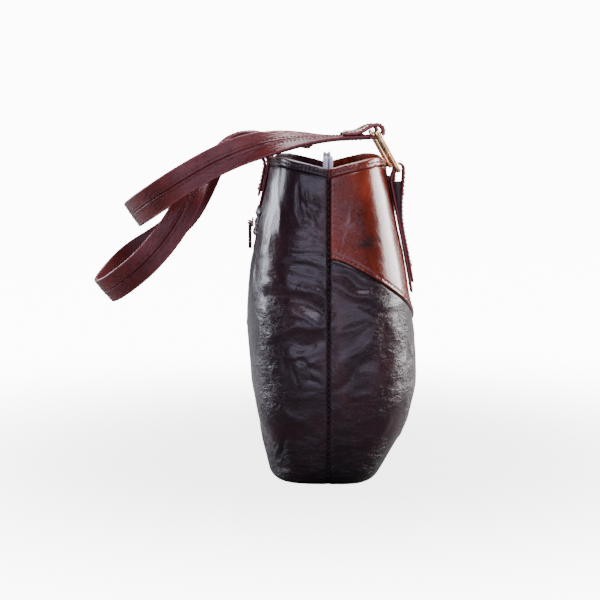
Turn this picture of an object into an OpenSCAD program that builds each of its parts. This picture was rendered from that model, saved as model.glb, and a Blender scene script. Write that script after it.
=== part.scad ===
// Soft leather shoulder bag that flares from a narrow rim to a wide belly.
// Two flat handles hang on four rectangular rings and lie flopped over the back.
// X runs along the bag's width, -Y is its front, +Z is up.
// The origin is at the middle of the base, on the ground.

/* [Bag body] */
// Height of the rim above the ground
bag_height = 315; // [295:1:335]
// Width of the rim from side seam to side seam
rim_width = 280; // [268:1:300]
// Width of the belly
belly_width = 340; // [316:1:360]
// Width of the base before its edge rolls in
base_width = 304; // [280:1:320]
// Depth of the rim, front to back
rim_depth = 114; // [110:1:118]
// Depth of the belly in front of the side seams
belly_front = 89.5; // [84:0.5:96]
// Depth of the belly behind the side seams
belly_back = 82; // [78:0.5:88]
// Depth of the base in front of the side seams
base_front = 50.5; // [44:0.5:58]
// Depth of the base behind the side seams
base_back = 59.5; // [50:0.5:66]
// Height of the fullest place of the front
front_belly_z = 96; // [85:1:115]
// Height of the fullest place of the back
back_belly_z = 157; // [135:1:170]
// Height of the widest place of the sides
side_belly_z = 100; // [85:1:120]
// Radius of the rolled edge round the base
base_roll = 5; // [4:0.5:9]
// Drop of the rim at the side seams
rim_dip = 11; // [4:0.5:14]
// Drop of the rim in the middle of the front and back
rim_sag = 2.5; // [1:0.5:5]

/* [Leather and lining] */
// Thickness of the outer leather
leather = 1.8; // [1.2:0.1:2.2]
// Thickness of the facing inside the rim
facing = 1.2; // [0.8:0.1:1.6]
// Thickness of the lining cloth
lining = 0.8; // [0.5:0.1:1]
// Thickness of the board in the base
board = 2; // [1.5:0.1:3]
// Room between layers that lie on each other
layer_gap = 0.3; // [0.2:0.05:0.4]
// Height of the turned band round the rim
rim_band_height = 8; // [6:0.5:10]
// Height of the facing inside the rim
facing_height = 30; // [24:1:38]

/* [Yoke] */
// Height of the yoke's lower edge at the side seams
yoke_side_z = 220; // [205:1:235]
// Height of the yoke's lower edge in the middle of the front
yoke_front_z = 144; // [125:1:165]

/* [Rings] */
// Wire diameter of a ring
ring_wire = 5; // [4:0.1:5.5]
// Distance between a ring's lower and upper bar
ring_rise = 42; // [38:0.5:46]
// Radius of a ring's corners at the middle of the wire
ring_corner = 4.5; // [3.8:0.1:5.5]
// Room round a bar inside its leather loop
bar_clearance = 0.3; // [0.2:0.05:0.5]
// Slope of a front ring at rest, above the ground plane
front_ring_slope = 60.8; // [60:0.1:64]
// Slope of a back ring at rest, above the ground plane
back_ring_slope = 15; // [12:0.5:20]

/* [Tabs] */
// Distance of the front tabs from the middle
front_tab_x = 84; // [82:0.5:88]
// Distance of the back tabs from the middle
back_tab_x = 50; // [46:0.5:52]
// Leather thickness of a tab
tab_leather = 2.2; // [1.6:0.1:2.6]
// Drop of a front ring's lower bar below the rim
front_pin_drop = 13; // [11:0.5:16]
// Rise of a back ring's lower bar above the rim
back_pin_rise = 3; // [3:0.5:6]
// Distance of a front ring's lower bar in front of the rim
front_pin_out = 11.5; // [11:0.5:15]
// Distance of a back ring's lower bar behind the rim
back_pin_out = 5.9; // [5.7:0.1:8]
// Length of a front tab below its loop
front_tab_length = 122; // [100:1:130]
// Length of a back tab below its loop
back_tab_length = 53; // [46:1:56]
// Diameter of a rivet's head
rivet_head = 8; // [6:0.5:10]
// Diameter of a rivet's stem
rivet_stem = 3; // [2:0.2:4]

/* [Handles] */
// Width of a handle's strap
strap_width = 29; // [25:0.5:31]
// Thickness of the strap's outer leather
strap_outer = 2.4; // [1.8:0.1:2.8]
// Thickness of the strap's inner leather
strap_inner = 1.6; // [1.2:0.1:2]
// Thickness of the end folded round a ring
fold_leather = 3.5; // [2.8:0.1:4]
// Length of the folded end on top of the strap
fold_length = 34; // [30:1:40]
// Length of the metal plate on a folded end
plate_length = 21; // [14:1:24]
// Thickness of the metal plate
plate_thickness = 1.2; // [0.8:0.1:2]
// Distance from a front ring to the crown of the front handle
front_reach = 270; // [262:1:280]
// Distance from a back ring to the crown of the back handle
back_reach = 290; // [280:1:298]
// Half the front handle's span between its legs
front_span = 102; // [100:0.5:106]
// Half the back handle's span between its legs
back_span = 58; // [54:0.5:62]
// Height of the bow at a handle's crown
crown_depth = 70; // [60:1:80]
// Rise of the back handle's far leg over its near one
back_lean = 18; // [0:1:22]

/* [Zip] */
// Length of the zip in the mouth
zip_length = 236; // [220:1:240]
// Place of the slider, from the middle
slider_x = 50; // [30:1:60]
// Half the width of the mouth where the zip is open
mouth_half = 22; // [14:1:26]
// Drop of the zip below the rim
zip_drop = 21; // [18:0.5:26]
// Diameter of a row of teeth
teeth_size = 3; // [2:0.1:3.4]
// Width of the tape on each side
tape_width = 10; // [7:0.5:12]
// Thickness of the tape
tape_thickness = 0.8; // [0.5:0.1:1]
// Length of the zip's puller
puller_length = 36; // [28:1:40]

/* [Back pocket] */
// Drop of the pocket's zip below the rim
pocket_zip_drop = 66; // [64:1:75]
// Length of the pocket's zip
pocket_zip_length = 190; // [170:1:200]
// Place of the pocket's slider, from the middle
pocket_slider_x = -60; // [-62:1:-40]
// Length of the pocket's puller
pocket_puller_length = 27; // [20:1:34]
// Depth of the pocket's pouch below its zip
pouch_depth = 120; // [90:1:140]

/* [Hidden] */

$fn = 48;
FRONT = -1;
BACK = 1;
LEFT = -1;
RIGHT = 1;

dark_leather = [0.19, 0.08, 0.10];
yoke_leather = [0.48, 0.17, 0.08];
strap_leather = [0.42, 0.17, 0.16];
brass = [0.80, 0.62, 0.32];
lining_cloth = [0.22, 0.18, 0.20];
tape_cloth = [0.62, 0.62, 0.66];
board_grey = [0.45, 0.42, 0.38];

// Shapes that one end eases into another
function clamp01(q) = min(max(q, 0), 1);
function wave(q) = (1 - cos(180 * clamp01(q))) / 2;
function mix(a, b, q) = a + (b - a) * q;

// Half sizes of the bag at height z: base, then belly, then rim.
// A bend over 1 keeps the rim's slope straight for longer, one under 1 fills it out.
front_bend = 1.14;
back_bend = 1.14;
side_bend = 1;
function roll(z) =
    z >= base_roll ? 0 : base_roll - sqrt(base_roll * base_roll - pow(base_roll - z, 2));
function swell(z, rim, belly, base, belly_z, bend) =
    z >= belly_z
    ? mix(rim, belly, sin(90 * pow(max(bag_height - z, 0) / (bag_height - belly_z), bend)))
    : mix(base, belly, sin(90 * z / belly_z)) - roll(z);
function half_width(z) =
    swell(z, rim_width / 2, belly_width / 2, base_width / 2, side_belly_z, side_bend);
function half_depth(side, z) =
    side == FRONT ? swell(z, rim_depth / 2, belly_front, base_front, front_belly_z, front_bend)
                  : swell(z, rim_depth / 2, belly_back, base_back, back_belly_z, back_bend);

// Point of the wall at s, from 0 at the left side seam over 1 in the middle to 2 at the right one.
// The section is a fourth-power ellipse, so the sides are flat and the corners round.
function turn(s) = 90 * s * s / (s * s + (1 - s) * (1 - s));
function along(s) = s <= 1 ? s : 2 - s;
function wall_point(side, s, z, inset) = [
    (s <= 1 ? -1 : 1) * (half_width(z) - inset) * sqrt(cos(turn(along(s)))),
    side * (half_depth(side, z) - inset) * sqrt(sin(turn(along(s)))),
    z
];
// Distance of the wall from the side seams' plane, at x and height z
function wall_depth(side, x, z, inset) =
    (half_depth(side, z) - inset) * pow(1 - pow(abs(x) / (half_width(z) - inset), 4), 1 / 4);

// Height of the rim and of the yoke's lower edge round the bag
corner_s = 0.45;
function rim_z(s) =
    bag_height - rim_dip * (1 - min(along(s) / corner_s, 1))
    - rim_sag * wave((along(s) - corner_s) / (1 - corner_s));
function yoke_z(s) = mix(yoke_side_z, yoke_front_z, wave(along(s)));
// Height of the rim at x, in the front or the back face
rim_z_mid = bag_height - rim_sag;

// Closed solid between two grids of points of one size
module solid_between(outer, inner, flip = false) {
    n = len(outer);
    m = len(outer[0]);
    function at(layer, i, j) = (layer * n + i) * m + j;
    quads = [
        for (i = [0:n - 2], j = [0:m - 2])
            [at(0, i, j), at(0, i, j + 1), at(0, i + 1, j + 1), at(0, i + 1, j)],
        for (i = [0:n - 2], j = [0:m - 2])
            [at(1, i, j), at(1, i + 1, j), at(1, i + 1, j + 1), at(1, i, j + 1)],
        for (i = [0:n - 2]) [at(0, i, 0), at(0, i + 1, 0), at(1, i + 1, 0), at(1, i, 0)],
        for (i = [0:n - 2])
            [at(0, i, m - 1), at(1, i, m - 1), at(1, i + 1, m - 1), at(0, i + 1, m - 1)],
        for (j = [0:m - 2]) [at(0, 0, j), at(1, 0, j), at(1, 0, j + 1), at(0, 0, j + 1)],
        for (j = [0:m - 2])
            [at(0, n - 1, j), at(0, n - 1, j + 1), at(1, n - 1, j + 1), at(1, n - 1, j)]
    ];
    triangles = [for (q = quads) each [[q[0], q[1], q[2]], [q[0], q[2], q[3]]]];
    polyhedron(
        points = [for (layer = [outer, inner]) for (row = layer) each row],
        faces = flip ? [for (t = triangles) [t[2], t[1], t[0]]] : triangles
    );
}

// Panel of the wall: steps across, rows up, between two insets and two heights.
// Rows crowd towards the bottom by the power crowd, where the base rolls in.
panel_steps = 24;
module wall_panel(side, low, high, rows, outer, inner, crowd = 1) {
    function grid(inset) = [
        for (i = [0:panel_steps])
            let (s = 2 * i / panel_steps)
            [for (j = [0:rows]) wall_point(side, s, mix(low(s), high(s), pow(j / rows, crowd)), inset)]
    ];
    solid_between(grid(outer), grid(inner), side == BACK);
}

// Piece of the wall between two values of x and two heights
module wall_patch(side, x0, x1, z0, z1, outer, inner, steps = 4, rows = 3) {
    function grid(inset) = [
        for (i = [0:steps])
            let (x = mix(x0, x1, i / steps))
            [
                for (j = [0:rows])
                    let (z = mix(z0, z1, j / rows))
                    [x, side * wall_depth(side, x, z, inset), z]
            ]
    ];
    solid_between(grid(outer), grid(inner), side == BACK);
}

// Outline of the bag at height z as a flat shape
module outline(z, inset) {
    polygon([
        for (i = [0:panel_steps])
            let (p = wall_point(FRONT, 2 * i / panel_steps, z, inset)) [p[0], p[1]],
        for (i = [1:panel_steps - 1])
            let (p = wall_point(BACK, 2 - 2 * i / panel_steps, z, inset)) [p[0], p[1]]
    ]);
}

// The layers of the base, from the ground up
board_z = leather + layer_gap;
base_lining_z = board_z + board + layer_gap;
facing_inset = leather + layer_gap;
lining_inset = facing_inset + lining + 2 * layer_gap;
facing_low = facing_height + layer_gap;

module front_lower_panel() {
    color(dark_leather)
        wall_panel(FRONT, function (s) 0, function (s) yoke_z(s), 10, 0, leather, 2);
}

module front_yoke() {
    color(yoke_leather)
        wall_panel(FRONT, function (s) yoke_z(s), function (s) rim_z(s) - rim_band_height,
                   6, 0, leather);
}

module front_rim_band() {
    color(yoke_leather)
        wall_panel(FRONT, function (s) rim_z(s) - rim_band_height, function (s) rim_z(s),
                   1, 0, leather);
}

module back_panel() {
    color(dark_leather)
        wall_panel(BACK, function (s) 0, function (s) rim_z(s) - rim_band_height,
                   14, 0, leather, 2);
}

module back_rim_band() {
    color(dark_leather)
        wall_panel(BACK, function (s) rim_z(s) - rim_band_height, function (s) rim_z(s),
                   1, 0, leather);
}

module base_panel() {
    color(dark_leather)
        linear_extrude(leather) outline(0, leather + layer_gap);
}

module base_board() {
    color(board_grey)
        translate([0, 0, board_z])
            linear_extrude(board) outline(0, leather + layer_gap);
}

module base_lining() {
    color(lining_cloth)
        translate([0, 0, base_lining_z])
            linear_extrude(lining) outline(0, lining_inset);
}

module side_lining(side) {
    color(lining_cloth)
        wall_panel(side, function (s) base_lining_z + lining + layer_gap,
                   function (s) rim_z(s) - facing_low, 9, lining_inset, lining_inset + lining, 1.5);
}

module front_lining() {
    side_lining(FRONT);
}

module back_lining() {
    side_lining(BACK);
}

module rim_facing(side) {
    color(side == FRONT ? yoke_leather : dark_leather)
        wall_panel(side, function (s) rim_z(s) - facing_height, function (s) rim_z(s),
                   2, facing_inset, facing_inset + facing);
}

module front_facing() {
    rim_facing(FRONT);
}

module back_facing() {
    rim_facing(BACK);
}

// Stiffening patches behind the tabs, between the leather and the lining
backer_overlap = 5;
backer_gap = 0.5;
module tab_backers() {
    color(board_grey)
        for (side = [FRONT, BACK], hand = [LEFT, RIGHT]) {
            x = hand * tab_x(side);
            reach = strap_width / 2 + backer_overlap;
            wall_patch(side, x - reach, x + reach, loop_z(side) - tab_length(side) - backer_overlap,
                       rim_z_mid - facing_height - rim_dip,
                       leather + backer_gap, lining_inset - layer_gap);
        }
}

// Zip in the mouth: two tapes on leather closure panels that droop from the facings.
// Left of the slider the tapes stand apart, right of it they run side by side.
zip_z = bag_height - zip_drop;
closure_thickness = 1.2;
closure_z = zip_z + teeth_size;
closure_margin = 4;
closure_steps = 18;
closed_gap = 1.4;
zip_left = -zip_length / 2;
zip_right = zip_length / 2;
function zip_x(i) = mix(zip_left, zip_right, i / closure_steps);
function mouth_gap(x) =
    x >= slider_x ? closed_gap
                  : closed_gap + mouth_half * sin(180 * (x - zip_left) / (slider_x - zip_left));

// Strip along the zip between two distances from the middle and two heights
module zip_strip(side, near, far, near_z, far_z, thickness) {
    function grid(lift) = [
        for (i = [0:closure_steps])
            let (x = zip_x(i))
            [[x, side * far(x), far_z + lift], [x, side * near(x), near_z + lift]]
    ];
    solid_between(grid(thickness), grid(0), side == BACK);
}

module closure_panel(side) {
    rim_inset = facing_inset + facing + layer_gap;
    color(side == FRONT ? yoke_leather : dark_leather)
        zip_strip(side, function (x) mouth_gap(x) + teeth_size + closure_margin,
                  function (x) wall_depth(side, x, closure_z, rim_inset) - layer_gap,
                  zip_z + tape_thickness + layer_gap, closure_z, closure_thickness);
}

module front_closure_panel() {
    closure_panel(FRONT);
}

module back_closure_panel() {
    closure_panel(BACK);
}

module zip_tape(side) {
    color(tape_cloth)
        zip_strip(side, function (x) mouth_gap(x) + teeth_size + layer_gap,
                  function (x) mouth_gap(x) + teeth_size + layer_gap + tape_width,
                  zip_z - tape_thickness / 2, zip_z - tape_thickness / 2, tape_thickness);
}

module front_zip_tape() {
    zip_tape(FRONT);
}

module back_zip_tape() {
    zip_tape(BACK);
}

// Rod of polygon section along a list of points
module rod(path, size, sides = 6) {
    n = len(path);
    function heading(i) =
        let (d = path[min(i + 1, n - 1)] - path[max(i - 1, 0)]) d / norm(d);
    points = [
        for (i = [0:n - 1])
            let (t = heading(i), flat = [-t[1], t[0], 0] / norm([t[0], t[1]]), up = cross(t, flat))
            for (k = [0:sides - 1])
                let (a = 360 * (k + 0.5) / sides)
                path[i] + size / 2 * (cos(a) * flat + sin(a) * up)
    ];
    faces = [
        [for (k = [0:sides - 1]) k],
        for (i = [0:n - 2], k = [0:sides - 1])
            let (a = i * sides + k, b = i * sides + (k + 1) % sides)
            each [[a, a + sides, b], [b, a + sides, b + sides]],
        [for (k = [sides - 1:-1:0]) (n - 1) * sides + k]
    ];
    polyhedron(points = points, faces = faces);
}

module zip_teeth(side) {
    color(brass)
        rod([
            for (i = [0:closure_steps])
                let (x = zip_x(i)) [x, side * (mouth_gap(x) + teeth_size / 2), zip_z]
        ], teeth_size);
}

module front_zip_teeth() {
    zip_teeth(FRONT);
}

module back_zip_teeth() {
    zip_teeth(BACK);
}

// Folded end of the tapes that stands up in the dip of the rim
zip_end_length = 12;
zip_end_leaf = 3.2;
zip_end_spread = 5.5;
zip_end_height = 16;
module zip_end(hand) {
    low = zip_z - zip_end_height / 2;
    high = bag_height + 2;
    start = zip_length / 2 + 2 * layer_gap;
    color(tape_cloth) {
        for (y = [-zip_end_spread / 2, zip_end_spread / 2])
            translate([hand * (start + zip_end_length / 2), y, 0]) {
                translate([-zip_end_length / 2, -zip_end_leaf / 2, low])
                    cube([zip_end_length, zip_end_leaf, high - low - zip_end_leaf / 2]);
                translate([-zip_end_length / 2, 0, high - zip_end_leaf / 2])
                    rotate([0, 90, 0]) cylinder(d = zip_end_leaf, h = zip_end_length);
            }
        translate([hand * (start + zip_end_length / 2) - zip_end_length / 2, -zip_end_spread / 2, low])
            cube([zip_end_length, zip_end_spread, zip_end_leaf]);
    }
}

module left_zip_end() {
    zip_end(LEFT);
}

module right_zip_end() {
    zip_end(RIGHT);
}

// Slider: two plates with the teeth between them, a post, and a bail for the puller
slider_length = 12;
slider_width = 12;
slider_plate = 1.2;
slider_clearance = 0.4;
slider_travel = 60;
post_radius = 0.9;
bail_radius = 1;
bail_height = 3.2;
slider_top = zip_z + teeth_size / 2 + slider_clearance + slider_plate;
bail_z = slider_top + bail_height - bail_radius;
module zip_slider() {
    color(brass) {
        for (z = [zip_z - teeth_size / 2 - slider_clearance - slider_plate,
                  slider_top - slider_plate])
            translate([slider_x - slider_length / 2, -slider_width / 2, z])
                cube([slider_length, slider_width, slider_plate]);
        translate([slider_x - slider_length / 3, 0, slider_top - slider_plate / 2 - teeth_size
                   - 2 * slider_clearance - slider_plate])
            cylinder(r = post_radius, h = teeth_size + 2 * slider_clearance + slider_plate);
        bail(slider_x, slider_top - slider_plate / 2);
    }
}

// Bar across a slider, on two cheeks
bail_span = 8;
cheek = 1.2;
module bail(x, foot_z) {
    translate([x, 0, bail_z])
        rotate([90, 0, 0]) cylinder(r = bail_radius, h = bail_span + 2 * cheek, center = true);
    for (y = [-bail_span / 2 - cheek, bail_span / 2])
        translate([x - bail_radius, y, foot_z])
            cube([2 * bail_radius, cheek, bail_z - foot_z]);
}

// Flat tongue with an eye on a bail, lying along +X from its eye
puller_thickness = 2.2;
puller_gap = 0.5;
eye_wall = 0.9;
eye_radius = bail_radius + bar_clearance / 2;
module tongue(length, width, drop) {
    rotate([90, 0, 0])
        linear_extrude(width, center = true)
            difference() {
                union() {
                    circle(eye_radius + eye_wall);
                    translate([0, -drop]) square([length, puller_thickness]);
                }
                circle(eye_radius);
            }
}

module zip_puller() {
    color(strap_leather)
        translate([slider_x, 0, bail_z])
            rotate([0, 0, 180]) tongue(puller_length, bail_span - 2 * puller_gap, eye_radius + eye_wall);
}

// Zip of the back pocket, sewn across the back panel below the tabs
pocket_tape_height = 14;
pocket_steps = 16;
pocket_zip_z = bag_height - pocket_zip_drop;
pocket_teeth = 2.4;
module pocket_zip_tape() {
    color(tape_cloth)
        wall_patch(BACK, -pocket_zip_length / 2, pocket_zip_length / 2,
                   pocket_zip_z - pocket_tape_height / 2, pocket_zip_z + pocket_tape_height / 2,
                   -layer_gap - tape_thickness, -layer_gap, panel_steps, 1);
}

pocket_row_out = layer_gap + tape_thickness + layer_gap + pocket_teeth / 2;
function pocket_row_y(x) = wall_depth(BACK, x, pocket_zip_z, -pocket_row_out);
module pocket_zip_teeth() {
    color(brass)
        rod([
            for (i = [0:pocket_steps])
                let (x = mix(-pocket_zip_length / 2, pocket_zip_length / 2, i / pocket_steps))
                [x, pocket_row_y(x), pocket_zip_z]
        ], pocket_teeth);
}

pocket_slider_size = 9;
pocket_plate = 1.6;
pocket_travel = -2 * pocket_slider_x;
pocket_slider_y = pocket_row_y(0) + pocket_teeth / 2 + slider_clearance;
pocket_bail_y = pocket_slider_y + pocket_plate + eye_radius + eye_wall + layer_gap;
module pocket_slider() {
    color(brass) {
        translate([pocket_slider_x - slider_width / 2, pocket_slider_y,
                   pocket_zip_z - pocket_slider_size / 2])
            cube([slider_width, pocket_plate, pocket_slider_size]);
        translate([pocket_slider_x, pocket_bail_y, pocket_zip_z])
            rotate([0, 90, 0]) cylinder(r = bail_radius, h = bail_span + 2 * cheek, center = true);
        for (x = [-bail_span / 2 - cheek, bail_span / 2])
            translate([pocket_slider_x + x, pocket_slider_y + pocket_plate / 2,
                       pocket_zip_z - bail_radius])
                cube([cheek, pocket_bail_y - pocket_slider_y - pocket_plate / 2, 2 * bail_radius]);
    }
}

module pocket_puller() {
    color(dark_leather)
        translate([pocket_slider_x, pocket_bail_y, pocket_zip_z])
            rotate([0, 90, 90])
                tongue(pocket_puller_length, bail_span - 2 * puller_gap,
                       -eye_radius - eye_wall + puller_thickness);
}

// Pouch of the pocket, lying on the inside of the lining
pouch_gap = 1.1;
module pocket_pouch() {
    pouch_inset = lining_inset + lining + pouch_gap;
    color(lining_cloth)
        wall_patch(BACK, -pocket_zip_length / 2, pocket_zip_length / 2,
                   pocket_zip_z - pouch_depth, pocket_zip_z + pocket_tape_height / 2,
                   pouch_inset, pouch_inset + 2 * lining, 12, 5);
}

// A ring's bars: the lower one is in a tab's loop, the upper one in a handle's fold
function tab_x(side) = side == FRONT ? front_tab_x : back_tab_x;
function pin_y(side) = side == FRONT ? -rim_depth / 2 - front_pin_out : rim_depth / 2 + back_pin_out;
function pin_z(side) = bag_height + (side == FRONT ? -front_pin_drop : back_pin_rise);
function ring_slope(side) = side == FRONT ? front_ring_slope : back_ring_slope;
function bar_y(side) = pin_y(side) - side * ring_rise * cos(ring_slope(side));
function bar_z(side) = pin_z(side) + ring_rise * sin(ring_slope(side));

// Tab: an inner layer on the bag, a loop over the ring's lower bar, and an outer layer.
// Its profile is drawn with Y across and Z up, then given the strap's width along X.
// The front loops are loose round their bars, the back ones close.
function loop_room(side) = side == FRONT ? 1.2 : bar_clearance;
function loop_lift(side) = side == FRONT ? 1.5 : 0;
function loop_y(side) = pin_y(side) + side * (loop_room(side) - bar_clearance);
function loop_z(side) = pin_z(side) + loop_lift(side);
function loop_inner(side) = ring_wire / 2 + loop_room(side);
function loop_mid(side) = loop_inner(side) + tab_leather / 2;
loop_settle = 14;
front_band_settle = 80;
tail_step = 10;
tab_steps = 14;
function tab_length(side) = side == FRONT ? front_tab_length : back_tab_length;
function band_settle(side) = side == FRONT ? front_band_settle : loop_settle;
function tab_pinch(side) = side == FRONT ? layer_gap : 1.5;
// Middle of each layer, as a distance from the side seams' plane at height z
function tab_seat(side, z) =
    wall_depth(side, tab_x(side) - strap_width / 2, min(z, bag_height), -layer_gap - tab_leather / 2);
function tab_inner(side, z) =
    mix(abs(loop_y(side)) - loop_mid(side), tab_seat(side, z), wave((loop_z(side) - z) / loop_settle));
function tab_outer(side, z) =
    mix(abs(loop_y(side)) + loop_mid(side), tab_seat(side, z) + tab_leather + tab_pinch(side),
        wave((loop_z(side) - z) / band_settle(side)));

// Outline of the layers and the loop; heights crowd towards the loop, where the layers bend
module tab(side, hand) {
    function z_at(i, length) = loop_z(side) - length * pow(i / tab_steps, 1.6);
    function inner(i, out) =
        let (z = z_at(i, tab_length(side))) [side * (tab_inner(side, z) + out), z];
    function outer(i, out) =
        let (z = z_at(i, tab_length(side) - tail_step)) [side * (tab_outer(side, z) + out), z];
    function loop(a, radius) =
        [loop_y(side) + side * radius * cos(a), loop_z(side) + radius * sin(a)];
    half = tab_leather / 2;
    radius = loop_inner(side);
    color(strap_leather)
        translate([hand * tab_x(side), 0, 0])
            rotate([90, 0, 90])
                linear_extrude(strap_width, center = true)
                    polygon([
                        for (i = [tab_steps:-1:0]) inner(i, -half),
                        for (a = [165:-15:15]) loop(a, radius + tab_leather),
                        for (i = [0:tab_steps]) outer(i, half),
                        for (i = [tab_steps:-1:0]) outer(i, -half),
                        for (a = [15:15:165]) loop(a, radius),
                        for (i = [0:tab_steps]) inner(i, half)
                    ]);
}

module front_left_tab() {
    tab(FRONT, LEFT);
}

module front_right_tab() {
    tab(FRONT, RIGHT);
}

module back_left_tab() {
    tab(BACK, LEFT);
}

module back_right_tab() {
    tab(BACK, RIGHT);
}

// Rivets: a head on the outer layer and a stem in the room between the two layers
rivet_head_height = 1.6;
rivet_seat = 0.25;
module tab_rivets() {
    color(brass)
        for (side = [FRONT, BACK], hand = [LEFT, RIGHT], drop = rivet_drops(side)) {
            z = loop_z(side) - drop;
            out = tab_outer(side, z) + tab_leather / 2 + rivet_seat;
            slope = atan(tab_outer(side, z - 1) - tab_outer(side, z));
            translate([hand * tab_x(side), side * out, z])
                rotate([side == FRONT ? 90 - slope : -90 + slope, 0, 0])
                    cylinder(d1 = rivet_head, d2 = rivet_head * 0.6, h = rivet_head_height);
        }
}
function rivet_drops(side) = side == FRONT ? [24, 94] : [34];

// Rectangular ring of round wire, standing on the middle of its lower bar
ring_span = strap_width + 0.5 + 2 * ring_corner;
module ring_shape() {
    straight = ring_span - 2 * ring_corner;
    for (z = [0, ring_rise])
        translate([-straight / 2, 0, z]) rotate([0, 90, 0]) cylinder(d = ring_wire, h = straight);
    for (x = [-ring_span / 2, ring_span / 2])
        translate([x, 0, ring_corner]) cylinder(d = ring_wire, h = ring_rise - 2 * ring_corner);
    for (corner = [[1, 1, 0], [-1, 1, 90], [-1, -1, 180], [1, -1, 270]])
        translate([corner[0] * straight / 2, 0, ring_rise / 2 + corner[1] * (ring_rise / 2 - ring_corner)])
            rotate([90, 0, 0]) rotate([0, 0, corner[2]])
                rotate_extrude(angle = 90) translate([ring_corner, 0]) circle(d = ring_wire);
}

module ring(side, hand) {
    color(brass)
        translate([hand * tab_x(side), pin_y(side), pin_z(side)])
            rotate([side * (90 - ring_slope(side)), 0, 0]) ring_shape();
}

module front_left_ring() {
    ring(FRONT, LEFT);
}

module front_right_ring() {
    ring(FRONT, RIGHT);
}

module back_left_ring() {
    ring(BACK, LEFT);
}

module back_right_ring() {
    ring(BACK, RIGHT);
}

// Handles. A handle's spine is its line in the side view, from under the ring's upper bar
// to the crown. Its keys are a length and the slope there, over +Y; slopes change evenly
// between keys.
strap_total = strap_outer + layer_gap + strap_inner;
fold_room = 1.7;
fold_inner = ring_wire / 2 + fold_room;
fold_outer = fold_inner + fold_leather;
fold_shift = fold_room - bar_clearance;
spine_drop = ring_wire / 2 + bar_clearance + fold_leather / 2;
front_keys = [[0, -2], [70, -2], [110, -11], [140, -21], [175, -29], [210, -32], [400, -40]];
back_keys = [[0, 14], [52, 14], [88, -52], [108, -60], [168, -60], [205, -51], [240, -43], [400, -36]];
function keys_of(side) = side == FRONT ? front_keys : back_keys;
function reach_of(side) = side == FRONT ? front_reach : back_reach;
function span_of(side) = side == FRONT ? front_span : back_span;
function first_slope(side) = keys_of(side)[0][1];
function spine_angle(side, r, k = 0) =
    let (v = keys_of(side))
    r <= v[k + 1][0] || k == len(v) - 2
    ? mix(v[k][1], v[k + 1][1], clamp01((r - v[k][0]) / (v[k + 1][0] - v[k][0])))
    : spine_angle(side, r, k + 1);
// Walk along the spine in small straight steps, in Y and Z from the ring's upper bar
spine_step = 4;
function spine_walk(side, r) =
    r <= spine_step
    ? r * [cos(spine_angle(side, r / 2)), sin(spine_angle(side, r / 2))]
    : spine_walk(side, r - spine_step)
      + spine_step * [cos(spine_angle(side, r - spine_step / 2)), sin(spine_angle(side, r - spine_step / 2))];
function spine_point(side, r) =
    spine_walk(side, max(r, 0)) + min(r, 0) * [cos(first_slope(side)), sin(first_slope(side))]
    + spine_drop * [sin(first_slope(side)), -cos(first_slope(side))];

// How far the strap has turned from lying flat to standing on its edge, at length r
function twist_start(side) = side == FRONT ? 26 : 52;
function twist_end(side) = side == FRONT ? 170 : 200;
function twist(side, r) = 90 * wave((r - twist_start(side)) / (twist_end(side) - twist_start(side)));
lean_start = 160;
lean_length = 110;
spread_start = 45;
spread_length = 70;
leg_steps = 18;
crown_steps = 9;
strap_start = 8;

// Stations along a handle, from -1 at the left ring over 0 at the crown to 1 at the right ring
function stations() = [
    for (i = [0:leg_steps]) [-1, i / leg_steps, 0],
    for (i = [1:crown_steps]) [-1, 1, i / crown_steps],
    for (i = [crown_steps - 1:-1:1]) [1, 1, i / crown_steps],
    for (i = [leg_steps:-1:0]) [1, i / leg_steps, 0]
];

// Middle of the strap and its two cross directions at a station
function strap_frame(side, station) =
    let (
        hand = station[0],
        leg = reach_of(side) - crown_depth,
        r = mix(strap_start, leg, station[1]) + crown_depth * sin(90 * station[2]),
        x = hand * cos(90 * station[2])
            * mix(tab_x(side), span_of(side), wave((r - spread_start) / spread_length)),
        p = spine_point(side, r),
        a = spine_angle(side, r),
        up = [0, -sin(a), cos(a)],
        lean = side == FRONT ? 0
            : back_lean * wave((r - lean_start) / lean_length) * (x / span_of(side) + 1) / 2,
        outward = [hand * cos(90 * station[2]), sin(90 * station[2]) * cos(a),
                   sin(90 * station[2]) * sin(a)],
        t = twist(side, r),
        face = cos(t) * up + sin(t) * outward,
        width = sin(t) * up - cos(t) * hand * [1, 0, 0]
    )
    [[x, bar_y(side) + p[0], bar_z(side) + p[1]] + lean * up, hand * width, face];

// Layer of a handle's strap between two distances from the strap's middle
module strap_layer(side, top, bottom) {
    function grid(offset) = [
        for (station = stations())
            let (f = strap_frame(side, station))
            [for (e = [-0.5, 0.5]) f[0] + e * station[0] * strap_width * f[1] + offset * f[2]]
    ];
    color(strap_leather) solid_between(grid(top), grid(bottom));
}

module front_handle_strap() {
    strap_layer(FRONT, strap_total / 2, strap_total / 2 - strap_outer);
}

module front_handle_lining() {
    strap_layer(FRONT, strap_inner - strap_total / 2, -strap_total / 2);
}

module back_handle_strap() {
    strap_layer(BACK, strap_total / 2, strap_total / 2 - strap_outer);
}

module back_handle_lining() {
    strap_layer(BACK, strap_inner - strap_total / 2, -strap_total / 2);
}

// Fold of a handle's end round the ring's upper bar: the loop, and the end on top of the strap.
// Both lie in the side view and are given the strap's width along X.
fold_steps = 10;
fold_settle = 22;
function fold_lift(r) =
    mix(2 * fold_inner + fold_leather, strap_total / 2 + layer_gap + fold_leather / 2,
        wave(r / fold_settle));
function fold_edge(side, r, offset) =
    let (a = spine_angle(side, r), p = spine_point(side, r)) p + (fold_lift(r) + offset) * [-sin(a), cos(a)];

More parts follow.
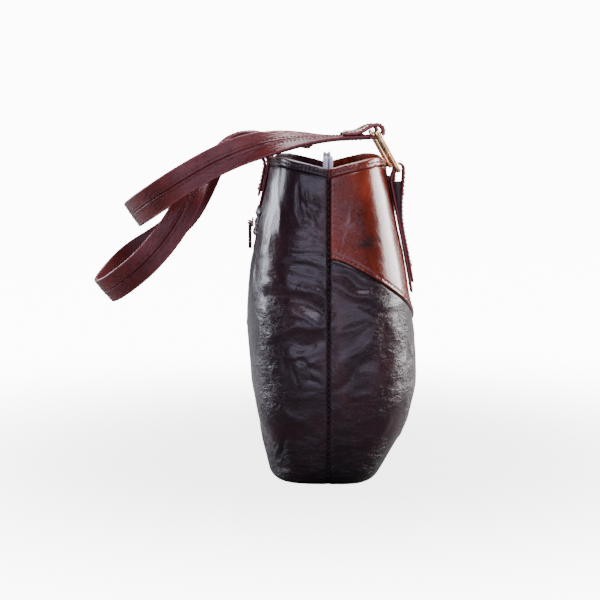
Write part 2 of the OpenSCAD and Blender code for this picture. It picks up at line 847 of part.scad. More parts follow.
module fold_strip(side, r0, r1, low, high, steps) {
    polygon([
        for (i = [0:steps]) fold_edge(side, mix(r0, r1, i / steps), low),
        for (i = [steps:-1:0]) fold_edge(side, mix(r0, r1, i / steps), high)
    ]);
}

module at_bar(side, hand) {
    translate([hand * tab_x(side), bar_y(side), bar_z(side)]) rotate([90, 0, 90]) children();
}

// Outline of the lower leg, the loop and the flap in one
module fold(side, hand) {
    function tilt(p) =
        let (a = first_slope(side)) [p[0] * cos(a) - p[1] * sin(a), p[0] * sin(a) + p[1] * cos(a)];
    function loop(a, radius) = tilt([radius * cos(a), fold_shift + radius * sin(a)]);
    function flap(i, out) = fold_edge(side, fold_length * i / fold_steps, out);
    half = fold_leather / 2;
    leg_end = strap_start - layer_gap;
    color(strap_leather)
        at_bar(side, hand)
            linear_extrude(strap_width, center = true)
                polygon([
                    tilt([leg_end, -spine_drop - half]),
                    for (a = [270:-15:105]) loop(a, fold_outer),
                    for (i = [0:fold_steps]) flap(i, half),
                    for (i = [fold_steps:-1:0]) flap(i, -half),
                    for (a = [105:15:270]) loop(a, fold_inner),
                    tilt([leg_end, -spine_drop + half])
                ]);
}

module front_left_fold() {
    fold(FRONT, LEFT);
}

module front_right_fold() {
    fold(FRONT, RIGHT);
}

module back_left_fold() {
    fold(BACK, LEFT);
}

module back_right_fold() {
    fold(BACK, RIGHT);
}

// Metal plates on the folded ends
plate_start = 9;
plate_width = 22;
module fold_plates(side) {
    low = fold_leather / 2 + layer_gap / 3;
    color(brass)
        for (hand = [LEFT, RIGHT])
            at_bar(side, hand)
                linear_extrude(plate_width, center = true)
                    fold_strip(side, plate_start, plate_start + plate_length, low,
                               low + plate_thickness, fold_steps);
}

module front_handle_plates() {
    fold_plates(FRONT);
}

module back_handle_plates() {
    fold_plates(BACK);
}

front_lower_panel();
front_yoke();
front_rim_band();
back_panel();
back_rim_band();
base_panel();
base_board();
base_lining();
front_lining();
back_lining();
front_facing();
back_facing();
tab_backers();
front_closure_panel();
back_closure_panel();
front_zip_tape();
back_zip_tape();
front_zip_teeth();
back_zip_teeth();
left_zip_end();
right_zip_end();
zip_slider();
zip_puller();
pocket_zip_tape();
pocket_zip_teeth();
pocket_slider();
pocket_puller();
pocket_pouch();
front_left_tab();
front_right_tab();
back_left_tab();
back_right_tab();
tab_rivets();
front_left_ring();
front_right_ring();
back_left_ring();
back_right_ring();
front_handle_strap();
front_handle_lining();
front_left_fold();
front_right_fold();
front_handle_plates();
back_handle_strap();
back_handle_lining();
back_left_fold();
back_right_fold();
back_handle_plates();
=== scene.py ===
import math

import bpy
import numpy as np
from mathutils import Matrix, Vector


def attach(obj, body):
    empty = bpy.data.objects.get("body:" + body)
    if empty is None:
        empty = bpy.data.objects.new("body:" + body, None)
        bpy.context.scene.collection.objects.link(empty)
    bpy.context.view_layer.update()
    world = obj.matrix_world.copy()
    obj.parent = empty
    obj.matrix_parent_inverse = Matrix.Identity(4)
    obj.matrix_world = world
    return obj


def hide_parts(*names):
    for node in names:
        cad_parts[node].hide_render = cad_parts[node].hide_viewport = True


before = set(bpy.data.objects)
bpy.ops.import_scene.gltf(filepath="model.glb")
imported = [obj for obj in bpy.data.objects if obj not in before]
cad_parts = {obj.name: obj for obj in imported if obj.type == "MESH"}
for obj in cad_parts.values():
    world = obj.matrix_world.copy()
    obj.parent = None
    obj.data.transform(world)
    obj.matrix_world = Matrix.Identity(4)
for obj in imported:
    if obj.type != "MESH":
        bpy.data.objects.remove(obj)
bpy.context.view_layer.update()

# Leather shoulder bag seen end on. X is the width, -Y the front, +Z up.
# Shapes are worked out in millimetres; makePiece turns them into metres.
front, back = -1, 1
left, right = -1, 1
sideName = {front: "front", back: "back"}
handName = {left: "left", right: "right"}


# numbers and curves
def clamp(q):  # held between 0 and 1
    return np.clip(q, 0, 1)


def wave(q):  # eases from 0 to 1
    return (1 - np.cos(np.pi * clamp(q))) / 2


def hump(q):  # 1 at 0, fading on both sides
    return np.exp(-q ** 2)


def mix(a, b, q):  # a at 0, b at 1, even between
    return a + (b - a) * q


def unit(v):  # a vector divided by its length
    return v / np.maximum(np.linalg.norm(v, axis=-1, keepdims=True), 1e-9)


def points(x, y, z):  # three coordinates side by side, spread over each other's shape
    return np.stack(np.broadcast_arrays(x, y, z), axis=-1).astype(float)


def pointing(like, x, y, z):  # one direction for each value of like
    return points(x + 0 * like, y + 0 * like, z + 0 * like)


def travelled(path):  # length along a path, from 0
    return np.concatenate([[0], np.cumsum(np.linalg.norm(np.diff(path, axis=0), axis=1))])


def walled(outer, inner):  # closed sections from two faces of a wall
    return np.concatenate([outer, inner[:, ::-1]], axis=1)


# mesh makers
def makePiece(name, verts, faces, material, body, replaces=(), smooth=True, shade=None, flow=None):
    # A mesh from points in millimetres, with its shade and wear, flow map, material and body
    mesh = bpy.data.meshes.new(name)
    faces = [np.asarray(f, dtype=np.int32) for f in faces]
    counts = np.concatenate([np.full(len(f), f.shape[1], np.int32) for f in faces])
    corners = np.concatenate([f.ravel() for f in faces])
    mesh.vertices.add(len(verts))
    mesh.vertices.foreach_set("co", (np.asarray(verts) * 0.001).astype(np.float32).ravel())
    mesh.loops.add(len(corners))
    mesh.loops.foreach_set("vertex_index", corners)
    mesh.polygons.add(len(counts))
    mesh.polygons.foreach_set("loop_start", np.concatenate([[0], np.cumsum(counts)[:-1]]).astype(np.int32))
    mesh.polygons.foreach_set("loop_total", counts)
    mesh.update(calc_edges=True)
    mesh.validate()
    mesh.polygons.foreach_set("use_smooth", np.full(len(mesh.polygons), smooth))
    if flow is not None:  # metres along and across the piece
        layer = mesh.uv_layers.new(name="flow")
        index = np.zeros(len(mesh.loops), np.int32)
        mesh.loops.foreach_get("vertex_index", index)
        layer.data.foreach_set("uv", (flow[index] * 0.001).astype(np.float32).ravel())
    # per-point attribute: painted shade under 1, plain at 1, worn paler over 1
    tone = np.ones(len(verts)) if shade is None else shade
    mesh.attributes.new("shade", "FLOAT", "POINT").data.foreach_set("value", tone.astype(np.float32))
    mesh.materials.append(material)
    piece = bpy.data.objects.new(name, mesh)
    bpy.context.scene.collection.objects.link(piece)
    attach(piece, body)
    if replaces:
        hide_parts(*replaces)
    return piece


def skin(rings, closed=False):
    # Faces between rings of points (n rings, k points each, closed round k), turned to face outwards.
    # The ends get caps; a closed skin joins its last ring to its first.
    n, k = rings.shape[:2]
    i = np.arange(n if closed else n - 1)[:, None]
    j = np.arange(k)[None, :]
    a, b = (i % n) * k, ((i + 1) % n) * k
    quads = np.stack(np.broadcast_arrays(a + j, b + j, b + (j + 1) % k, a + (j + 1) % k), -1)
    faces = [quads.reshape(-1, 4)]
    if not closed:
        j = np.arange(k // 2 - 1)
        cap = np.stack([j, j + 1, k - 2 - j, k - 1 - j], -1)
        faces += [cap, (n - 1) * k + cap[:, ::-1]]
    flat = rings.reshape(-1, 3)
    p = flat[np.concatenate(faces)]
    volume = np.sum(p[:, 0] * (np.cross(p[:, 1], p[:, 2]) + np.cross(p[:, 2], p[:, 3])))
    if volume < 0:
        faces = [f[:, ::-1] for f in faces]
    return flat, faces


def manySkins(rings):
    # Many small equal pieces: rings has one more axis in front, and the first one's faces serve all
    count, n, k = rings.shape[:3]
    shift = np.arange(count)[:, None, None] * n * k
    return rings.reshape(-1, 3), [(shift + f[None]).reshape(-1, 4) for f in skin(rings[0])[1]]


def joined(parts):
    # Several (verts, faces) sets as one
    verts, faces, start = [], [], 0
    for v, fs in parts:
        verts.append(v)
        faces += [f + start for f in fs]
        start += len(v)
    return np.concatenate(verts), faces


def skinPiece(name, rings, material, body, replaces=(), shade=None, smooth=True):
    # A skin whose flow map runs along the rings' middles and round each ring
    verts, faces = skin(rings)
    step = np.linalg.norm(np.diff(rings, axis=1), axis=2)
    across = np.concatenate([np.zeros((len(rings), 1)), np.cumsum(step, axis=1)], axis=1)
    flow = np.stack(np.broadcast_arrays(travelled(rings.mean(axis=1))[:, None], across), -1).reshape(-1, 2)
    tone = None if shade is None else np.broadcast_to(shade, rings.shape[:2]).ravel()
    return makePiece(name, verts, faces, material, body, replaces, smooth, tone, flow)


def band(middle, widthway, faceway, width, thickness, crown=0.0, steps=14, edge=4):
    # Flat strip carried along a path: half circles at its edges, and a face that rises by crown
    e = np.linspace(-1, 1, steps)
    a = np.linspace(90, -90, edge + 2)[1:-1] * np.pi / 180
    half, t = width / 2, thickness / 2
    top = np.stack([e * (half - t), t + crown * (1 - e ** 2)], -1)
    turn = np.stack([half - t + t * np.cos(a), t * np.sin(a)], -1)
    bottom = np.stack([-e * (half - t), np.full(steps, -t)], -1)
    ring = np.concatenate([top, turn, bottom, -turn])
    return middle[:, None] + ring[None, :, :1] * widthway[:, None] + ring[None, :, 1:] * faceway[:, None]


# shader maths
class Value:
    # A socket that takes + - and *, which become Math nodes
    def __init__(self, finish, socket):
        self.finish, self.socket = finish, socket

    def math(self, operation, *terms):
        return self.finish.node("ShaderNodeMath", {"operation": operation}, dict(enumerate(terms)))

    def __add__(self, other):
        return self.math("ADD", self, other)

    def __radd__(self, other):
        return self.math("ADD", other, self)

    def __sub__(self, other):
        return self.math("SUBTRACT", self, other)

    def __rsub__(self, other):
        return self.math("SUBTRACT", other, self)

    def __mul__(self, other):
        return self.math("MULTIPLY", self, other)

    def __rmul__(self, other):
        return self.math("MULTIPLY", other, self)


class Finish:
    # One material and its nodes
    def __init__(self, name):
        self.material = bpy.data.materials.new(name)
        self.material.use_nodes = True
        self.tree = self.material.node_tree
        self.tree.nodes.clear()
        self.output = self.tree.nodes.new("ShaderNodeOutputMaterial")

    def node(self, kind, settings=None, sockets=None, out=0):
        # Adds a node, fills its settings and sockets and gives one of its outputs
        made = self.tree.nodes.new(kind)
        for key, value in (settings or {}).items():
            if key == "stops":
                ramp = made.color_ramp
                while len(ramp.elements) < len(value):
                    ramp.elements.new(0.5)
                for element, (place, colour) in zip(ramp.elements, value):
                    element.position = place
                    element.color = (*colour, 1)
            else:
                setattr(made, key, value)
        for key, value in (sockets or {}).items():
            if isinstance(value, Value):
                self.tree.links.new(value.socket, made.inputs[key])
            elif isinstance(value, tuple) and len(value) == 3 and made.inputs[key].type == "RGBA":
                made.inputs[key].default_value = (*value, 1)
            else:
                made.inputs[key].default_value = value
        return Value(self, made.outputs[out])

    def place(self, scale=(1, 1, 1)):  # the piece's own coordinates, scaled
        here = self.node("ShaderNodeTexCoord", out="Object")
        return self.node("ShaderNodeMapping", {}, {"Vector": here, "Scale": scale})

    def noise(self, where, scale, detail=4, rough=0.55, distortion=0.0):
        return self.node("ShaderNodeTexNoise", {"noise_dimensions": "3D"}, {
            "Vector": where, "Scale": scale, "Detail": detail, "Roughness": rough,
            "Distortion": distortion})

    def cells(self, where, scale):  # distance to the nearest of many scattered points
        return self.node("ShaderNodeTexVoronoi", {"feature": "F1"},
                         {"Vector": where, "Scale": scale}, "Distance")

    def thread(self, value, width):  # 1 on the thin lines where the value crosses its middle
        away = (value - 0.5).math("ABSOLUTE", value - 0.5)
        return 1 - self.between(away, 0.0, width)

    def ramp(self, factor, *stops):  # colours at places from 0 to 1
        return self.node("ShaderNodeValToRGB", {"stops": stops}, {"Fac": factor})

    def between(self, value, low, high):  # 0 under low, 1 over high, eased
        return self.node("ShaderNodeMapRange", {"interpolation_type": "SMOOTHSTEP"},
                         {"Value": value, "From Min": low, "From Max": high})

    def blend(self, factor, a, b, kind="MIX"):  # a at 0, b at 1
        made = self.tree.nodes.new("ShaderNodeMix")
        made.data_type, made.blend_type = "RGBA", kind
        for key, value in ((0, factor), (6, a), (7, b)):
            if isinstance(value, Value):
                self.tree.links.new(value.socket, made.inputs[key])
            else:
                made.inputs[key].default_value = (*value, 1) if isinstance(value, tuple) else value
        return Value(self, made.outputs[2])

    def attribute(self, name):
        return self.node("ShaderNodeAttribute", {"attribute_name": name}, {}, "Fac")

    def bump(self, height, distance, strength=1.0, normal=None):
        sockets = {"Height": height, "Distance": distance, "Strength": strength}
        if normal is not None:
            sockets["Normal"] = normal
        return self.node("ShaderNodeBump", {}, sockets)

    def surface(self, **sockets):  # ends the material; _ stands for a blank in a socket's name
        names = {key.replace("_", " "): value for key, value in sockets.items()}
        shader = self.node("ShaderNodeBsdfPrincipled", {}, names)
        self.tree.links.new(shader.socket, self.output.inputs["Surface"])
        return self.material


def leatherFinish(name, look):
    # Waxed leather: mottled dye, crackle where it creases, fine pebble grain, worn paler edges.
    # The attribute paints shade into seams, grooves, undersides and the foot under 1 and shows wear over 1.
    f = Finish(name)
    here = f.place()
    warped = f.node("ShaderNodeVectorMath", {"operation": "MULTIPLY_ADD"}, {
        0: f.noise(here, 22, 3), 1: (0.012, 0.012, 0.012), 2: here})
    clouds = f.noise(here, look["cloudScale"], 5, 0.6, 0.4)
    streaks = f.noise(f.place((34, 34, 7)), 1, 6, 0.65, 0.8)
    grain = f.cells(warped, look["grainScale"])
    pores = f.noise(here, 1500, 2)
    crackle = f.thread(f.noise(warped, look["crackleScale"], 3, 0.55, 1.4), 0.03)
    crackleFine = f.thread(f.noise(warped, look["crackleScale"] * 2.9, 3, 0.6, 1.0), 0.05)
    wrinkles = f.noise(f.place((1, 1, 2.4)), look["wrinkleScale"], 5, 0.62, 0.9)
    creased = f.between(f.noise(here, 13, 3), 0.44, 0.6)
    shade = f.attribute("shade")
    mottle = clouds * (1 - look["streak"]) + streaks * look["streak"]
    tone = f.ramp(mottle, *zip((0.3, 0.5, 0.72), look["colours"]))
    lines = 1 - crackle * creased * look["lineDark"]
    lineTone = f.node("ShaderNodeCombineColor", {}, {0: lines, 1: lines, 2: lines})
    tone = f.blend(1.0, tone, lineTone, "MULTIPLY")
    tone = f.blend(f.between(shade, 1.0, 2.0), tone, look["worn"])
    # painted shade: under 1 the colour is blended toward the dark shade colour
    dark = f.between(shade, 0.0, 1.0)
    tone = f.blend(dark, look["shadeColour"], tone)
    rough = look["rough"] + 0.16 * (clouds - 0.5) + 0.1 * (1 - dark) + 0.12 * (1 - lines)
    cracks = crackleFine * creased * 0.12 + crackle * creased * look["crackleDepth"]
    crinkle = f.noise(f.place((1, 1, 1.7)), look["wrinkleScale"] * 3.1, 4, 0.6, 1.2)
    folds = wrinkles * (0.25 + 0.75 * creased) + crinkle * (0.1 + 0.9 * creased) * look["crinkle"]
    normal = f.bump(folds, 0.003, look["foldStrength"])
    normal = f.bump(grain * 0.3 + pores * 0.08 - cracks, 0.0009, look["grainStrength"], normal)
    return f.surface(Base_Color=tone, Roughness=rough, Normal=normal, Coat_Weight=look["coat"],
                     Coat_Roughness=look["coatRough"], Coat_IOR=1.34, IOR=1.36)


darkLook = dict(
    colours=((0.006, 0.0020, 0.0052), (0.019, 0.0038, 0.0078), (0.058, 0.0080, 0.0085)),
    worn=(0.10, 0.035, 0.045), shadeColour=(0.0015, 0.0008, 0.001), rough=0.3, coat=0.5, coatRough=0.17,
    cloudScale=10, streak=0.4, grainScale=430, grainStrength=0.7, crackleScale=60, crackleDepth=0.22,
    lineDark=0.5, wrinkleScale=52, crinkle=0.4, foldStrength=1.0)
yokeLook = dict(
    colours=((0.040, 0.0050, 0.003), (0.135, 0.0145, 0.0052), (0.26, 0.035, 0.0115)),
    worn=(0.30, 0.075, 0.045), shadeColour=(0.010, 0.0025, 0.002), rough=0.26, coat=0.5, coatRough=0.13,
    cloudScale=17, streak=0.7, grainScale=560, grainStrength=0.45, crackleScale=34, crackleDepth=0.04,
    lineDark=0.15, wrinkleScale=22, crinkle=0.08, foldStrength=0.3)
strapLook = dict(
    colours=((0.065, 0.0075, 0.0065), (0.125, 0.0165, 0.014), (0.21, 0.034, 0.028)),
    worn=(0.28, 0.075, 0.08), shadeColour=(0.006, 0.002, 0.0025), rough=0.38, coat=0.25, coatRough=0.25,
    cloudScale=30, streak=0.35, grainScale=650, grainStrength=0.6, crackleScale=110, crackleDepth=0.15,
    lineDark=0.3, wrinkleScale=60, crinkle=0.1, foldStrength=0.15)
darkLeather = leatherFinish("darkLeather", darkLook)
yokeLeather = leatherFinish("yokeLeather", yokeLook)
strapLeather = leatherFinish("strapLeather", strapLook)


def metalFinish(name, look):
    # Plated brass: tiny scratches, duller tarnish in clouds
    f = Finish(name)
    tarnish = f.between(f.noise(f.place(), 90, 4), 0.45, 0.7)
    scratch = f.noise(f.place((900, 60, 60)), 1, 3)
    tone = f.blend(tarnish, look["bright"], look["dull"])
    rough = look["rough"] + 0.2 * tarnish + 0.08 * scratch
    return f.surface(Base_Color=tone, Metallic=1.0, Roughness=rough, Normal=f.bump(scratch, 0.0001, 0.35))


brass = metalFinish("brass", dict(bright=(0.95, 0.72, 0.38), dull=(0.70, 0.44, 0.20), rough=0.2))
darkBrass = metalFinish("darkBrass", dict(bright=(0.16, 0.12, 0.11), dull=(0.05, 0.035, 0.035), rough=0.3))
paleBrass = metalFinish("paleBrass", dict(bright=(0.90, 0.74, 0.50), dull=(0.55, 0.38, 0.22), rough=0.2))


def clothFinish(name, look):
    # Plain weave on the piece's own flow map: threads over and under, fuzz between
    f = Finish(name)
    flow = f.node("ShaderNodeUVMap", {"uv_map": "flow"})
    across = f.node("ShaderNodeSeparateXYZ", {}, {0: flow})
    down = Value(f, across.socket.node.outputs[1])
    pitch = 2 * math.pi / look["thread"]
    warp = (across * pitch).math("SINE", across * pitch)
    weft = (down * pitch).math("SINE", down * pitch)
    weave = warp * weft * 0.5 + 0.5
    cloud = f.noise(f.place(), look["cloudScale"], 4)
    tone = f.blend(cloud, look["dark"], look["light"])
    tone = f.blend(weave * 0.35, tone, look["dark"])
    # painted shade: where the attribute is under 1 the cloth is blended toward its shade colour
    tone = f.blend(f.between(f.attribute("shade"), 0.0, 1.0), look["shadeColour"], tone)
    return f.surface(Base_Color=tone, Roughness=0.75 + 0.15 * cloud, Normal=f.bump(weave, 0.0003, 0.5),
                     Sheen_Weight=0.25, Sheen_Roughness=0.5)


tapeCloth = clothFinish("tapeCloth", dict(
    thread=0.0011, cloudScale=120, dark=(0.55, 0.55, 0.62), light=(0.88, 0.88, 0.95),
    shadeColour=(0.05, 0.05, 0.07)))
darkTape = clothFinish("darkTape", dict(
    thread=0.0011, cloudScale=120, dark=(0.02, 0.014, 0.018), light=(0.06, 0.045, 0.055),
    shadeColour=(0.01, 0.008, 0.01)))
liningCloth = clothFinish("liningCloth", dict(
    thread=0.0009, cloudScale=26, dark=(0.10, 0.055, 0.04), light=(0.17, 0.10, 0.075),
    shadeColour=(0.03, 0.02, 0.015)))
boardStuff = clothFinish("boardStuff", dict(
    thread=0.002, cloudScale=60, dark=(0.16, 0.15, 0.14), light=(0.24, 0.23, 0.21),
    shadeColour=(0.05, 0.05, 0.05)))


def threadFinish(name, dark, light):
    # Waxed thread: twisted plies
    f = Finish(name)
    ply = f.noise(f.place(), 1400, 2)
    return f.surface(Base_Color=f.blend(ply, dark, light), Roughness=0.45 + 0.2 * ply,
                     Normal=f.bump(ply, 0.0002, 0.6))


darkThread = threadFinish("darkThread", (0.006, 0.003, 0.004), (0.02, 0.009, 0.011))
redThread = threadFinish("redThread", (0.06, 0.012, 0.012), (0.16, 0.042, 0.038))


def edgeFinish(name, dark, light):
    # Painted cut edge: dark, a little glossy, uneven
    f = Finish(name)
    cloud = f.noise(f.place(), 160, 4)
    return f.surface(Base_Color=f.blend(f.between(cloud, 0.35, 0.7), dark, light),
                     Roughness=0.35 + 0.2 * cloud, Normal=f.bump(cloud, 0.0004, 0.5))


edgePaint = edgeFinish("edgePaint", (0.012, 0.004, 0.006), (0.045, 0.012, 0.014))
bodyLeather = {front: (yokeLeather, "yoke_leather"), back: (darkLeather, "dark_leather")}
bodyThread = {front: redThread, back: darkThread}


def nodeFinish(name, material):
    # A CAD piece that is kept gets a better finish
    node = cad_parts[name]
    if not node.material_slots:
        node.data.materials.append(material)
    for place in node.material_slots:
        place.material = material


print("finishes ready")

# the bag's wall
bag = dict(height=315, rimWidth=280, bellyWidth=340, baseWidth=304, rimDepth=114,
           belly={front: 89.5, back: 82}, base={front: 50.5, back: 59.5}, bellyZ={front: 96, back: 157},
           sideBellyZ=100, bend=1.14, roll=5, rimDip=11, rimSag=2.5, corner=0.45,
           leather=1.8, gap=0.3, bandHeight=8, facingInset=2.1, facing=1.2, lining=0.8,
           facingHeight=30, yokeSide=220, yokeFront=144)
bag["liningInset"] = bag["facingInset"] + bag["lining"] + 2 * bag["gap"]


def swell(z, rim, belly, base, bellyZ, bend):
    # Half size at height z: a sine from base to belly, a bent sine from belly to rim, a rolled foot
    top = bag["height"]
    upper = mix(rim, belly, np.sin(np.pi / 2 * clamp((top - z) / (top - bellyZ)) ** bend))
    lower = mix(base, belly, np.sin(np.pi / 2 * clamp(z / bellyZ)))
    r = bag["roll"]
    rolled = r - np.sqrt(np.maximum(r * r - (r - np.clip(z, 0, r)) ** 2, 0))
    return np.where(z >= bellyZ, upper, lower - rolled)


def halfWidth(z):  # the swell of the bag's width
    return swell(z, bag["rimWidth"] / 2, bag["bellyWidth"] / 2, bag["baseWidth"] / 2, bag["sideBellyZ"], 1)


def halfDepth(side, z):  # the swell of its front or back
    return swell(z, bag["rimDepth"] / 2, bag["belly"][side], bag["base"][side], bag["bellyZ"][side],
                 bag["bend"])


def along(s):  # 0 at a side seam, 1 in the middle of a face
    return np.where(s <= 1, s, 2 - s)


def wallPoint(side, s, z, inset=0.0):
    # Fourth-power ellipse: s runs 0 at the left seam, 1 mid face, 2 at the right seam
    a = along(s)
    turn = np.pi / 2 * a * a / (a * a + (1 - a) ** 2)
    x = np.where(s <= 1, -1, 1) * (halfWidth(z) - inset) * np.sqrt(np.cos(turn).clip(0))
    y = side * (halfDepth(side, z) - inset) * np.sqrt(np.sin(turn).clip(0))
    return points(x, y, z)


def wallDepth(side, x, z, inset=0.0):
    # Distance of the same ellipse from the seams' plane at x
    share = np.minimum(np.abs(x) / (halfWidth(z) - inset), 1)
    return (halfDepth(side, z) - inset) * (1 - share ** 4) ** 0.25


def wallOut(p):
    # Level direction out of the wall at a point: the slope of the ellipse's formula
    x, y, z = p[..., 0], p[..., 1], p[..., 2]
    depth = np.where(y < 0, halfDepth(front, z), halfDepth(back, z))
    width = halfWidth(z)
    out = points((x / width) ** 3 / width, (y / depth) ** 3 / depth, np.zeros_like(z))
    out[..., 0] += np.where(np.abs(y) < 1e-6, np.sign(x) * 1e-6, 0)
    return unit(out)


def rimZ(s):
    # Height of the rim: an even drop to the side seams and a slight sag in the middle of a face
    a = along(s)
    return (bag["height"] - bag["rimDip"] * (1 - np.minimum(a / bag["corner"], 1))
            - bag["rimSag"] * wave((a - bag["corner"]) / (1 - bag["corner"])))


def yokeZ(s):  # height of the yoke's lower edge: eases down to the middle of the front
    return mix(bag["yokeSide"], bag["yokeFront"], wave(along(s)))


# Creases of the left side as seen in the photo, each from (y, z) to (y, z), with its width and the
# height of its ridge; a negative height is a valley. Swells are slow waves: height and length.
sag = dict(
    leftCreases=(
        ((66, 186), (38, 184), 9, -2.2), ((38, 184), (2, 172), 8, -2.6), ((66, 196), (30, 194), 8, 1.2),
        ((30, 194), (2, 184), 8, 1.6), ((40, 171), (8, 160), 9, 1.6), ((58, 205), (38, 188), 6, -0.8),
        ((46, 226), (4, 222), 6, 0.9), ((46, 216), (6, 210), 6, -1.1), ((40, 236), (10, 240), 5, -0.8),
        ((36, 262), (12, 246), 5, 0.8), ((30, 276), (4, 262), 5, -0.6), ((36, 250), (20, 256), 4, 0.6),
        ((56, 150), (4, 158), 10, 1.7), ((60, 138), (10, 142), 8, -1.6), ((50, 126), (20, 132), 6, 0.7),
        ((48, 138), (40, 112), 6, -0.7), ((66, 168), (44, 160), 6, 0.9), ((64, 124), (40, 116), 7, -0.7),
        ((30, 128), (8, 112), 5, -0.6), ((34, 116), (12, 124), 4, 0.5), ((24, 108), (6, 100), 4, -0.5),
        ((50, 78), (22, 64), 7, 0.8), ((56, 60), (30, 48), 8, -1.0), ((48, 40), (56, 20), 6, 1.4),
        ((40, 52), (50, 26), 6, -1.2), ((62, 26), (54, 12), 5, 1.4), ((52, 12), (30, 9), 4, 1.0),
        ((58, 18), (40, 16), 4, -1.0), ((-8, 206), (-40, 190), 7, -1.0), ((-10, 194), (-56, 176), 8, 1.2),
        ((-30, 178), (-70, 166), 6, -1.0), ((-4, 150), (-40, 160), 8, 0.7),
        ((-6, 118), (-52, 152), 12, 1.0),
        ((-10, 100), (-50, 130), 10, -1.1), ((-20, 86), (-44, 96), 8, 0.8), ((-46, 52), (-62, 70), 8, 0.8),
        ((-30, 30), (-56, 44), 8, -0.9), ((-44, 20), (-56, 12), 5, 1.5), ((-36, 12), (-52, 8), 4, -1.2),
        ((-40, 26), (-60, 28), 5, 0.9), ((60, 250), (64, 215), 5, -1.2), ((54, 262), (58, 224), 4, 1.0),
        ((70, 180), (76, 150), 6, -0.8), ((72, 140), (66, 100), 7, 0.8), ((44, 231), (22, 229), 3.5, -0.7),
        ((34, 221), (6, 215), 3.5, 0.7), ((42, 206), (12, 202), 4, -0.8), ((28, 242), (4, 236), 4, 0.7),
        ((20, 284), (14, 250), 4, 0.6), ((30, 288), (26, 256), 4, -0.6), ((12, 280), (8, 262), 3, -0.5),
        ((48, 286), (44, 240), 5, 0.7), ((56, 284), (54, 262), 4, -0.6), ((36, 120), (28, 96), 3, -0.5),
        ((20, 122), (14, 104), 3, -0.5), ((26, 132), (36, 124), 3, 0.5), ((58, 118), (52, 90), 4, -0.7),
        ((16, 92), (36, 86), 4, 0.5), ((-12, 250), (-30, 262), 5, 0.4), ((-16, 232), (-26, 286), 5, 0.4)),
    swells=((0.7, 70), (0.25, 34)), sideStart=0.86, sideEase=0.09, sideStrength=1.3, wobble=2.4,
    calmFoot=14, calmRim=22, deepest=2.4, thinnest=0.8)


def waves(u, v, size, count=5, seed=3):
    # Sum of sine waves of about one length in several directions, about between -1 and 1
    draw = np.random.default_rng(seed)
    total = 0
    for heading, stretch, phase in zip(draw.uniform(0, np.pi, count), draw.uniform(0.7, 1.4, count),
                                       draw.uniform(0, 2 * np.pi, count)):
        travel = u * np.cos(heading) + v * np.sin(heading)
        total = total + np.sin(travel * 2 * np.pi / (size * stretch) + phase)
    return total / count ** 0.5 / 1.3


def creaseHeight(u, v, creases):
    # Each crease is a wobbling line; its ridge has a rounded section and fades at its ends
    u, v = u + sag["wobble"] * waves(u, v, 30, 4, 21), v + sag["wobble"] * waves(u, v, 26, 4, 22)
    height = np.zeros(np.broadcast(u, v).shape)
    for (u0, v0), (u1, v1), width, rise in creases:
        du, dv = u1 - u0, v1 - v0
        length = math.hypot(du, dv)
        down = ((u - u0) * du + (v - v0) * dv) / length
        off = ((u - u0) * dv - (v - v0) * du) / length
        past = np.maximum(np.maximum(-down, down - length), 0)
        taper = 0.35 + 0.65 * np.sin(np.pi * clamp(down / length)) ** 0.5
        height += rise * taper * hump(off / (width * 0.5)) * hump(past / width)
    return height


def randomCreases(seed, count, u, v, tilt=0.6):
    # Ridges and valleys in turn, mostly level
    draw = np.random.default_rng(seed)
    rows = []
    for i in range(count):
        u0, v0 = draw.uniform(*u), draw.uniform(*v)
        length, heading = draw.uniform(20, 62), draw.normal(0, tilt)
        rows.append(((u0, v0), (u0 + length * math.cos(heading), v0 + length * math.sin(heading)),
                     draw.uniform(5, 11), draw.uniform(0.5, 1.7) * (1 if i % 2 else -1)))
    return rows


frontCreases = randomCreases(5, 34, (-140, 110), (14, 140))
backCreases = randomCreases(8, 46, (-140, 110), (14, 225))
# the right side isn't in the photo: it gets the left one's creases, moved and scaled
rightCreases = [((a[0], a[1] - 6), (b[0], b[1] - 2), w * 1.1, h * 0.85)
                for a, b, w, h in sag["leftCreases"] if a[0] > 0]
rightCreases += [((4 - 0.9 * a[0], a[1] + 4), (-0.9 * b[0], b[1] - 7), w, h * 0.9)
                 for a, b, w, h in sag["leftCreases"] if a[0] <= 0]


def relief(p):
    # How far the leather stands out of the plain wall: slow swells and creases, calm at foot and rim
    x, y, z = p[..., 0], p[..., 1], p[..., 2]
    onSide = wave((np.abs(x) / halfWidth(z) - sag["sideStart"]) / sag["sideEase"])
    total = 0
    for rise, size in sag["swells"]:
        total = total + rise * waves(x * 0.7 + y, z * 1.1, size, 5, 10 + size)
    sides = np.where(x < 0, creaseHeight(y, z, sag["leftCreases"]), creaseHeight(-y, z, rightCreases))
    faces = np.where(y < 0, creaseHeight(x, z, frontCreases), creaseHeight(x, z, backCreases))
    total = total + onSide * sag["sideStrength"] * sides + (1 - onSide) * faces
    return total * wave(z / sag["calmFoot"]) * wave((bag["height"] - 6 - z) / sag["calmRim"])


seamForm = dict(width=1.5, pucker=0.16, puckerWidth=5, stitch=5.3, round=1.6)


